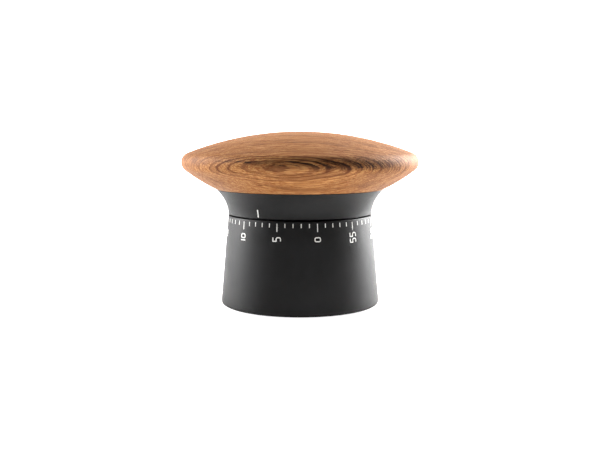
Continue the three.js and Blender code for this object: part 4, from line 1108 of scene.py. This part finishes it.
axisAt = np.zeros(2)
secondAt, thirdAt, escapeAt = spot("second_arbor"), spot("third_arbor"), spot("escape_arbor")
balanceAt, strikeAt, hammerAt = spot("balance_arbor"), spot("strike_arbor"), spot("hammer_arbor")
leverAt, cockAt = spot("lever_stud"), spot("cock_screw")
lowPlate, highPlate = span("bottom_plate"), span("top_plate")
pillarsAt = [spot(f"pillar_{i}") for i in (1, 2, 3)]


# A plate with its holes, and an oil sink turned round each pivot hole on the outer side.
def platePiece(name, node, bores, pivots, sinkSide):
    bottom, top = span(node)
    loops = [circle(movement["plateRadius"], steps=192)]
    bores = bores + [(at, movement["screwHole"]) for at in pillarsAt]
    loops += [circle(radius, at, 40) for at, radius in bores]
    loops += [circle(movement["pivotHole"], at, 24) for at in pivots]
    piece = rawObject(name, [stamped(loops, bottom, top, edge=0.1)])
    face, into = (bottom, 1) if sinkSide == "below" else (top, -1)
    rows = [(radius, face + depth * into) for radius, depth in movement["sink"]]
    profile = [(0, rows[0][1])] + rows + [(0, rows[-1][1])]
    return finished(combined(piece, [turned(profile, at, 32) for at in pivots]), [node])


m = movement
platePiece(
    "topPlate", "top_plate", [(axisAt, m["bore"])],
    [secondAt, thirdAt, escapeAt, strikeAt, hammerAt, leverAt], "above",
)
platePiece(
    "bottomPlate", "bottom_plate",
    [(axisAt, m["lowBore"]), (hammerAt, m["hammerHole"]), (cockAt, m["screwHole"])],
    [secondAt, thirdAt, escapeAt, balanceAt, strikeAt], "below",
)

pillarShape = {"radius": 2.0, "waist": 1.65, "bore": (1.1, 5.2), "mouth": 1.3, "collar": 2.0, "neck": 2.5}


# A pillar is the same at both ends, bored for a screw, and has a slimmer middle.
def pillarPiece(number, at):
    p = pillarShape
    node = f"pillar_{number}"
    bottom, top = span(node)
    bore, deep = p["bore"]
    end = [
        (0, deep + 0.3), (bore, deep), (bore, 0.2), (p["mouth"], 0, 0.05), (p["radius"], 0, 0.15),
        (p["radius"], p["collar"], 0.1), (p["waist"], p["neck"], 0.4),
    ]
    below = [(r, bottom + h, *edge) for r, h, *edge in end]
    above = [(r, top - h, *edge) for r, h, *edge in end[::-1]]
    return made(f"platePillar{number}", [turned(rounded(below + above), at, 64)], [node], at)


for number, at in enumerate(pillarsAt, 1):
    pillarPiece(number, at)

postShape = {
    "radius": 2.2, "bore": 1.1, "boreDepth": 4.2, "flange": 4.0, "flangeHeight": 1.0,
    "mouth": 1.3, "sink": 0.45,
}


# The post that carries the bell hangs in the bottom plate by its flange.
def bellPost():
    p = postShape
    low, high = span("bell_post")
    flangeTop, sunk = lowPlate[0] - 0.1, lowPlate[0] - p["sink"]
    flangeLow = flangeTop - p["flangeHeight"]
    profile = rounded([
        (0, low + p["boreDepth"]), (p["bore"], low + p["boreDepth"] - 0.2), (p["bore"], low + 0.1),
        (p["radius"], low, 0.2), (p["radius"], flangeLow, 0.3), (p["flange"], flangeLow, 0.2),
        (p["flange"], flangeTop, 0.1), (p["radius"], flangeTop, 0.05), (p["radius"], high, 0.15),
        (p["mouth"], high, 0.1), (p["mouth"], sunk), (0, sunk),
    ])
    return made("bellPost", [turned(profile, segments=96)], ["bell_post"])


bellShape = {
    "radius": 22.0, "wall": 0.8, "corner": 2.5, "hole": 1.3, "lip": 0.25, "round": 0.6,
    "outerRing": (5.5, 6.5, 8.5, 9.5), "innerRing": (9.8, 8.8, 6.2, 5.2), "ringHeight": 0.35,
}


# The bell: an open cup with a rounded corner, a slightly rolled lip and a pressed ring.
def bellPiece():
    b = bellShape
    bottom, top = span("bell")
    r, w, corner, inside = b["radius"], b["wall"], b["corner"], bottom + b["wall"]
    lift = (0, b["ringHeight"], b["ringHeight"], 0)
    below = [(radius, bottom + up, b["round"]) for radius, up in zip(b["outerRing"], lift)]
    above = [(radius, inside + up, b["round"]) for radius, up in zip(b["innerRing"], lift)]
    rows = [(b["hole"], bottom, 0.1), *below, (r, bottom, corner), (r, top, b["lip"]), (r - w, top, b["lip"])]
    rows += [(r - w, inside, corner - w), *above, (b["hole"], inside, 0.1)]
    return made("bellCup", [turned(rounded(rows, steps=10, closed=True))], ["bell"])


bellPost()
bellPiece()
print("plates and bell made")

# ---- wheels and arbors


def sheetWheel(name, node, outline, at, turn, inner, openings=()):
    bottom, top = span(node)
    shell = stamped([outline, circle(inner, steps=32), *openings], bottom, top, at, turn)
    return made(name, [shell], [node], at)


# An arbor between the plates, with the pinion cut from the same rod.
def arborPiece(name, node, at, gear=None, pinion=None, turn=0, high=None):
    pivot, thick, shoulder = movement["pivot"], movement["arbor"], movement["shoulder"]
    bottom, top = span(node)
    low, high = lowPlate[1] + shoulder, (high or highPlate[0]) - shoulder
    steps = [(pivot, bottom), (pivot, low), (thick, low), (thick, high), (pivot, high), (pivot, top)]
    piece = rawObject(name, [rod(steps, at)])
    if gear:
        combined(piece, [stamped([gearOutline(gear, "pinion")], *pinion, at, turn, 0.08)], "UNION")
    return finished(piece, [node], at)


def zoneOf(node, over=0.3):  # a pinion reaches a little past its wheel on both sides
    bottom, top = span(node)
    return bottom - over, top + over


mainBore, arborBore, arborGrip = movement["bore"], 0.82, 2.05
hubs = {  # spokes, the windows' inner radius, the rim's width and half a spoke's width
    "main": (5, 4.4, 2.6, 0.9), "second": (4, 2.6, 1.6, 0.6), "third": (4, 2.6, 1.6, 0.6),
}


def trainWheel(kind, name, node, at, turn, inner):
    gear = train[kind]
    count, hub, rim, spoke = hubs[kind]
    openings = windows(count, hub, gear["module"] * gear["wheel"] / 2 - rim, spoke)
    return sheetWheel(name, node, gearOutline(gear, "wheel"), at, turn, inner, openings)


trainWheel("main", "greatWheel", "great_wheel", axisAt, 90, mainBore)
trainWheel("second", "secondWheel", "second_wheel", secondAt, bearing(secondAt, thirdAt), arborBore)
trainWheel("third", "thirdWheel", "third_wheel", thirdAt, bearing(thirdAt, escapeAt), arborBore)
pointed = {  # teeth, tip radius, depth, lean, and the windows
    "escape": (16, 4.5, 1.1, 0, (4, 1.7, 2.5, 0.35)), "star": (12, 6.5, 1.5, 0, (4, 2.0, 3.9, 0.5)),
    "ratchet": (24, 5.0, 0.7, 0.45, None),
}
for kind, at, turn, inner in (
    ("escape", escapeAt, bearing(escapeAt, balanceAt), arborBore),
    ("star", strikeAt, bearing(strikeAt, hammerAt) + 15, arborBore),
    ("ratchet", axisAt, 0, arborGrip),
):
    *teeth, openings = pointed[kind]
    openings = windows(*openings) if openings else ()
    sheetWheel(kind + "Wheel", kind + "_wheel", pointedOutline(*teeth), at, turn, inner, openings)

halfTooth = 180 / train["main"]["pinion"]
barrelLow = span("barrel")[0]
for name, at, kind, zone, mate in (
    ("second", secondAt, "main", zoneOf("great_wheel"), axisAt),
    ("third", thirdAt, "second", zoneOf("second_wheel"), secondAt),
    ("escape", escapeAt, "third", zoneOf("third_wheel"), thirdAt),
    ("strike", strikeAt, "main", (barrelLow - 0.1, barrelLow + 1.5), axisAt),
):
    arborPiece(name + "Arbor", name + "_arbor", at, train[kind], zone, bearing(at, mate) + halfTooth)
arborPiece("balanceArbor", "balance_arbor", balanceAt, high=span("balance_cock")[1] - 1)
low, high = span("hammer_arbor")
neck = highPlate[0] - 0.2
thick, pivot = movement["arbor"], movement["pivot"]
rodPiece("hammerArbor", "hammer_arbor", [(thick, low), (thick, neck), (pivot, neck), (pivot, high)], hammerAt)
print("wheels and arbors made")

# ---- mainspring and barrel

barrelShape = {
    "drum": 11.25, "inner": 10.35, "lidSeat": 10.75, "turns": 7, "strip": 0.25, "flange": 1.2, "turn": 228,
    "lidGap": 0.2, "lidGroove": (7.2, 7.4, 8.2, 8.4), "lidGrooveDepth": 0.15,
    "springStart": 2.5, "springGap": 0.3,
}


def barrelPieces():
    b = barrelShape
    bottom, top = span("barrel")
    lidLow, lidHigh = span("barrel_lid")
    floor, seat, drum = bottom + b["flange"], lidLow - 0.1, b["drum"]
    loops = [gearOutline(train["main"], "wheel"), circle(drum - 0.5, steps=96)]
    gear = stamped(loops, bottom, floor, axisAt, b["turn"])
    cup = turned(rounded([
        (mainBore, bottom, 0.1), (4.0, bottom, 0.1), (drum, bottom, 0.1), (drum, top, 0.15),
        (b["lidSeat"], top, 0.05), (b["lidSeat"], seat, 0.05), (b["inner"], seat, 0.05),
        (b["inner"], floor, 0.3), (mainBore, floor, 0.1),
    ], closed=True), segments=128)
    finished(combined(rawObject("springBarrel", [gear]), [cup], "UNION"), ["barrel"])
    edge, sunk = b["inner"] + b["lidGap"], lidHigh - b["lidGrooveDepth"]
    first, second, third, last = b["lidGroove"]
    lid = turned(rounded([
        (mainBore, lidLow, 0.05), (edge, lidLow, 0.1), (edge, lidHigh, 0.15),
        (last, lidHigh, 0.1), (third, sunk, 0.1), (second, sunk, 0.1),
        (first, lidHigh, 0.1), (mainBore, lidHigh, 0.1),
    ], closed=True), segments=128)
    made("barrelLid", [lid], ["barrel_lid"])


# The mainspring: a strip whose section, a rectangle with rounded edges, is carried along a
# spiral: the radius grows evenly with the angle.
def springPiece():
    b = barrelShape
    low, high = span("mainspring")
    a = np.linspace(0, 2 * np.pi * b["turns"], b["turns"] * 120 + 1)[:, None]
    inner, outer = b["springStart"], b["inner"] - b["springGap"] - b["strip"]
    middle = inner + (outer - inner) * a / a[-1] + b["strip"] / 2
    half, edge = b["strip"] / 2, 0.08
    corners = [(-half, low, edge), (half, low, edge), (half, high, edge), (-half, high, edge)]
    section = rounded(corners, steps=3, closed=True)
    r = middle + section[None, :, 0]
    turn = np.radians(b["turn"]) + a
    heights = np.repeat(section[None, :, 1], len(a), axis=0)
    points = np.stack([r * np.cos(turn), r * np.sin(turn), heights], axis=2)
    rows, columns = points.shape[:2]
    faces = gridFaces(rows, columns, False, True)
    faces += [list(range(columns)), list(range((rows - 1) * columns, rows * columns))]
    return made("coiledSpring", [(points.reshape(-1, 3), faces)], ["mainspring"])


barrelPieces()
springPiece()
print("barrel and spring made")

# ---- click, balance, hammer, release

clickShape = {
    "orbit": 10.7, "noseAt": (5.1, 35.625), "nose": 0.6, "eye": 1.3, "hole": 0.7, "turn": 90,
    "springFrom": 62, "springReach": 48, "springInwards": 2.2, "springThick": 0.3, "springFoot": 0.9,
}
balanceShape = {
    "radius": 3.8, "edge": 0.15, "pinAt": (1.35, 52), "pin": 0.3, "pinHole": 0.32,
    "cockArm": 3.6, "cockFoot": 1.8, "cockThick": 1.0,
}
hammerShape = {
    "pinOrbit": 5.0, "pinAngle": 53, "pin": 0.35, "anchorWidth": 1.3, "anchorThick": 0.5,
    "eye": 1.7, "bore": 0.85,
    "tail": (6.0, 12), "tailEye": 1.6, "tailWidth": 1.1, "armWidth": 1.2, "head": 2.0, "headEdge": 0.4,
}
leverShape = {"noseAt": (6.2, 318), "hookGap": 2.5, "width": 1.1, "hook": 0.8, "eye": 1.7, "hole": 0.8}


# Bars and eyes of one sheet joined to one piece, then bored.
def sheetLever(name, node, outlines, holes, at, turn=0, extra=(), zone=None):
    bottom, top = zone or span(node)
    shells = [stamped([outline], bottom, top, at, turn, 0.06) for outline in outlines]
    piece = combined(rawObject(name, shells[:1]), shells[1:] + list(extra), "UNION")
    bores = [stamped([outline], span(node)[0] - 1, top + 1, at, turn, 0.01) for outline in holes]
    return finished(combined(piece, bores), [node], at)


# The click with its stud, and its spring: a strip that nears the axis evenly along its arc.
def clickPieces():
    c = clickShape
    eyeAt, noseAt = np.array([c["orbit"], 0]), polar(*c["noseAt"])
    outlines = [bar(eyeAt, noseAt, c["nose"]), circle(c["eye"], eyeAt)]
    sheetLever("clickPawl", "click", outlines, [circle(c["hole"], eyeAt, 24)], axisAt, c["turn"])
    low, high = span("click_stud")
    steps = [(0.6, low), (0.6, high - 0.25), (1.0, high - 0.25), (1.0, high)]
    rodPiece("clickStud", "click_stud", steps, spot("click_stud"))
    share = np.linspace(0, 1, 40)
    a = np.radians(c["springFrom"] - c["springReach"] * share)
    sides = []
    for thick in (0, c["springThick"]):
        r = c["orbit"] - c["springInwards"] * share + thick
        sides.append(np.stack([r * np.cos(a), r * np.sin(a)], axis=1))
    strip = np.concatenate([sides[0], sides[1][::-1]])
    foot = circle(c["springFoot"], polar(c["orbit"], c["springFrom"]))
    sheetLever("clickSpring", "click_spring", [strip, foot], [], axisAt, c["turn"])


def balancePieces():
    b = balanceShape
    low, high = span("balance_disc")
    orbit, angle = b["pinAt"]
    loops = [circle(b["radius"], steps=72), circle(arborBore)]
    loops += [circle(b["pinHole"], polar(orbit, side * angle), 16) for side in (1, -1)]
    disc = stamped(loops, low, high, balanceAt, bearing(balanceAt, escapeAt), b["edge"])
    made("balanceDisc", [disc], ["balance_disc"], balanceAt)
    for number in (1, 2):
        node = f"balance_pin_{number}"
        low, high = span(node)
        rodPiece(f"balancePin{number}", node, [(b["pin"], low), (b["pin"], high)], spot(node), 24)
    low, high = span("balance_cock")
    arm = balanceAt - cockAt
    foot = rod([(b["cockFoot"], low), (b["cockFoot"], high - 0.1)], cockAt)
    holes = [circle(movement["pivotHole"], arm, 24), circle(movement["screwHole"], steps=32)]
    zone = (high - b["cockThick"], high)
    outline = bar(axisAt, arm, b["cockArm"], 16)
    sheetLever("balanceCock", "balance_cock", [outline], holes, cockAt, 0, [foot], zone)


def hammerPieces():
    h = hammerShape
    facing = bearing(hammerAt, strikeAt)
    low, high = span("hammer_anchor")
    bore = [circle(h["bore"], steps=32)]
    pins = [polar(h["pinOrbit"], facing + side * h["pinAngle"]) for side in (1, -1)]
    outlines = [circle(h["eye"])] + [bar(axisAt, p, h["anchorWidth"]) for p in pins]
    rods = [rod([(h["pin"], low), (h["pin"], high - 0.1)], hammerAt + p, 24) for p in pins]
    zone = (high - h["anchorThick"], high)
    sheetLever("hammerAnchor", "hammer_anchor", outlines, bore, hammerAt, 0, rods, zone)
    outlines = [circle(h["tailEye"]), bar(axisAt, polar(*h["tail"]), h["tailWidth"])]
    sheetLever("hammerTail", "hammer_tail", outlines, bore, hammerAt)
    headAt = spot("hammer_head")
    arm = headAt - hammerAt
    outlines = [circle(h["eye"]), bar(axisAt, arm, h["armWidth"])]
    sheetLever("hammerArm", "hammer_arm", outlines, bore + [circle(h["head"] + 0.02, arm, 40)], hammerAt)
    low, high = span("hammer_head")
    r, edge = h["head"], h["headEdge"]
    profile = rounded([
        (0, low), (r - edge, low, 0.1), (r, low + edge, 0.1),
        (r, high - edge, 0.1), (r - edge, high, 0.1), (0, high),
    ])
    made("hammerHead", [turned(profile, headAt, 64)], ["hammer_head"], headAt)


camShape = {"rim": 5.5, "root": 4.3, "rimFrom": 13, "notch": 9.1, "corner": 0.05, "turn": 272.4}


def releasePieces():
    c, l = camShape, leverShape
    start, notch = c["rimFrom"], c["notch"]
    rows = np.concatenate([
        arc((0, 0), c["rim"], start, 360 - start, 90), arc((0, 0), c["root"], -notch, notch, 6),
    ])
    outline = rounded(np.column_stack([rows, np.full(len(rows), c["corner"])]), closed=True)
    sheetWheel("releaseCam", "release_cam", outline, axisAt, c["turn"], arborGrip)
    gap, width = l["hookGap"], l["width"]
    guarded = hammerAt + polar(*hammerShape["tail"]) - leverAt
    noseAt, hookAt, hookTip = polar(*l["noseAt"]) - leverAt, guarded + [gap, 0], guarded + [gap / 4, -gap]
    bars = [bar(axisAt, noseAt, width), bar(axisAt, hookAt, width), bar(hookAt, hookTip, l["hook"])]
    outlines, bore = [circle(l["eye"])] + bars, [circle(l["hole"], steps=32)]
    sheetLever("releaseLever", "release_lever", outlines, bore, leverAt)
    low, high = span("lever_stud")
    neck = highPlate[0] - 0.1
    rodPiece("leverStud", "lever_stud", [
        (1.1, low), (1.1, low + 0.25), (0.7, low + 0.25), (0.7, neck), (0.5, neck), (0.5, high),
    ], leverAt)


clickPieces()
balancePieces()
hammerPieces()
releasePieces()

# ---- the main arbor and its hub

mainShape = {
    "radius": 2.0, "pivot": 1.2, "flatFrom": 38.6, "flatRadius": 1.98, "flatShare": 1.4 / 2,
    "hubBore": 2.1, "hubShare": 1.5 / 2.1, "knurls": 40, "knurl": [(3.28, 0.8), (3.4, 0.25)],
}


# A circle with a flat: the flat lies at the given share of the radius.
def flattened(radius, share):
    angle = math.degrees(math.acos(share))
    return arc((0, 0), radius, angle, 360 - angle, 60)


def mainPieces():
    s = mainShape
    low, high = span("main_arbor")
    shoulder = lowPlate[1] + 0.2
    steps = [(s["pivot"], low), (s["pivot"], shoulder), (s["radius"], shoulder), (s["radius"], s["flatFrom"])]
    flat = stamped([flattened(s["flatRadius"], s["flatShare"])], s["flatFrom"] - 0.3, high, edge=0.15)
    piece = rawObject("mainArbor", [rod(steps, segments=64)])
    finished(combined(piece, [flat], "UNION"), ["main_arbor"])
    low, high = span("drive_hub")
    loops = [toothed(s["knurls"], s["knurl"]), flattened(s["hubBore"], s["hubShare"])]
    made("driveHub", [stamped(loops, low, high, edge=0.12)], ["drive_hub"])


mainPieces()
print("movement finished")

# ---- studio: floor, backdrop, lights and camera

studio = {
    "width": 1.1, "front": 0.3, "wallAt": 0.9, "curve": 0.5, "wallHeight": 1.5,
    "glow": 0.1, "seenGlow": 1.0,  # how much the sweep shines on its own, and as the camera sees it
    "air": 0.03,
    "cameraPlace": (0, -0.3303, 0.0684), "cameraTarget": (0, 0, 0.0317), "lens": 49.09,
}


# The floor runs back flat and curves up into a wall: a profile in y and z, carried along x.
def sweepPiece():
    s = studio
    bend = arc((s["wallAt"] - s["curve"], s["curve"]), s["curve"], -90, 0, 24)
    profile = np.concatenate([[(-s["front"], 0)], bend, [(s["wallAt"], s["wallHeight"])]])
    x = np.linspace(-s["width"], s["width"], 9)
    points = np.array([[(across, y, z) for across in x] for y, z in profile]).reshape(-1, 3) / mm
    piece = rawObject("studioSweep", [(points, gridFaces(len(profile), len(x)))])
    piece.data.shade_smooth()
    material, tree, shader, point = newMaterial("paleSweep", Roughness=0.8)
    shade = noise(tree, point, 0.004, 2.0)
    colored(tree, shader, shade, linear(243, 243, 242), linear(247, 247, 246))
    shader.inputs["Emission Color"].default_value = (1, 1, 1, 1)
    seen = add(tree, "LightPath").outputs["Is Camera Ray"]
    glow = remap(tree, seen, 0.0, 1.0, s["glow"], s["seenGlow"], "LINEAR")
    tree.links.new(glow, shader.inputs["Emission Strength"])
    piece.data.materials.append(material)


def softbox(name, place, target, size, power):
    data = bpy.data.lights.new(name, "AREA")
    data.shape, data.size, data.size_y = "RECTANGLE", size[0], size[1]
    data.energy = power
    light = bpy.data.objects.new(name, data)
    light.location = place
    light.rotation_euler = (Vector(target) - Vector(place)).to_track_quat("-Z", "Y").to_euler()
    bpy.context.scene.collection.objects.link(light)


def setCamera():
    data = bpy.data.cameras.new("camera")
    data.lens, data.sensor_width = studio["lens"], 36
    camera = bpy.data.objects.new("camera", data)
    camera.location = studio["cameraPlace"]
    aim = Vector(studio["cameraTarget"]) - Vector(studio["cameraPlace"])
    camera.rotation_euler = aim.to_track_quat("-Z", "Y").to_euler()
    bpy.context.scene.collection.objects.link(camera)
    bpy.context.scene.camera = camera


sweepPiece()
softbox("overhead", (0, -0.05, 0.75), (0, 0, 0.03), (0.7, 0.6), 1.05)
softbox("rightSide", (0.55, 0.36, 0.29), (0, 0, 0.03), (0.4, 0.5), 22)
softbox("leftSide", (-0.62, 0.18, 0.29), (0, 0, 0.03), (0.4, 0.5), 13.3)
softbox("frontFill", (-0.15, -0.8, 0.6), (0, 0, 0.05), (0.5, 0.4), 0.1)
setCamera()


# The air of the studio: dim light from everywhere, and pale where the camera looks past the sweep.
def setWorld():
    world = bpy.data.worlds.new("studioAir")
    world.use_nodes = True
    tree = world.node_tree
    background = tree.nodes["Background"]
    background.inputs["Color"].default_value = (1, 1, 1, 1)
    seen = add(tree, "LightPath").outputs["Is Camera Ray"]
    strength = remap(tree, seen, 0.0, 1.0, studio["air"], 1.0, "LINEAR")
    tree.links.new(strength, background.inputs["Strength"])
    bpy.context.scene.world = world


setWorld()
bpy.context.scene.view_settings.view_transform = "Standard"
print("studio set")
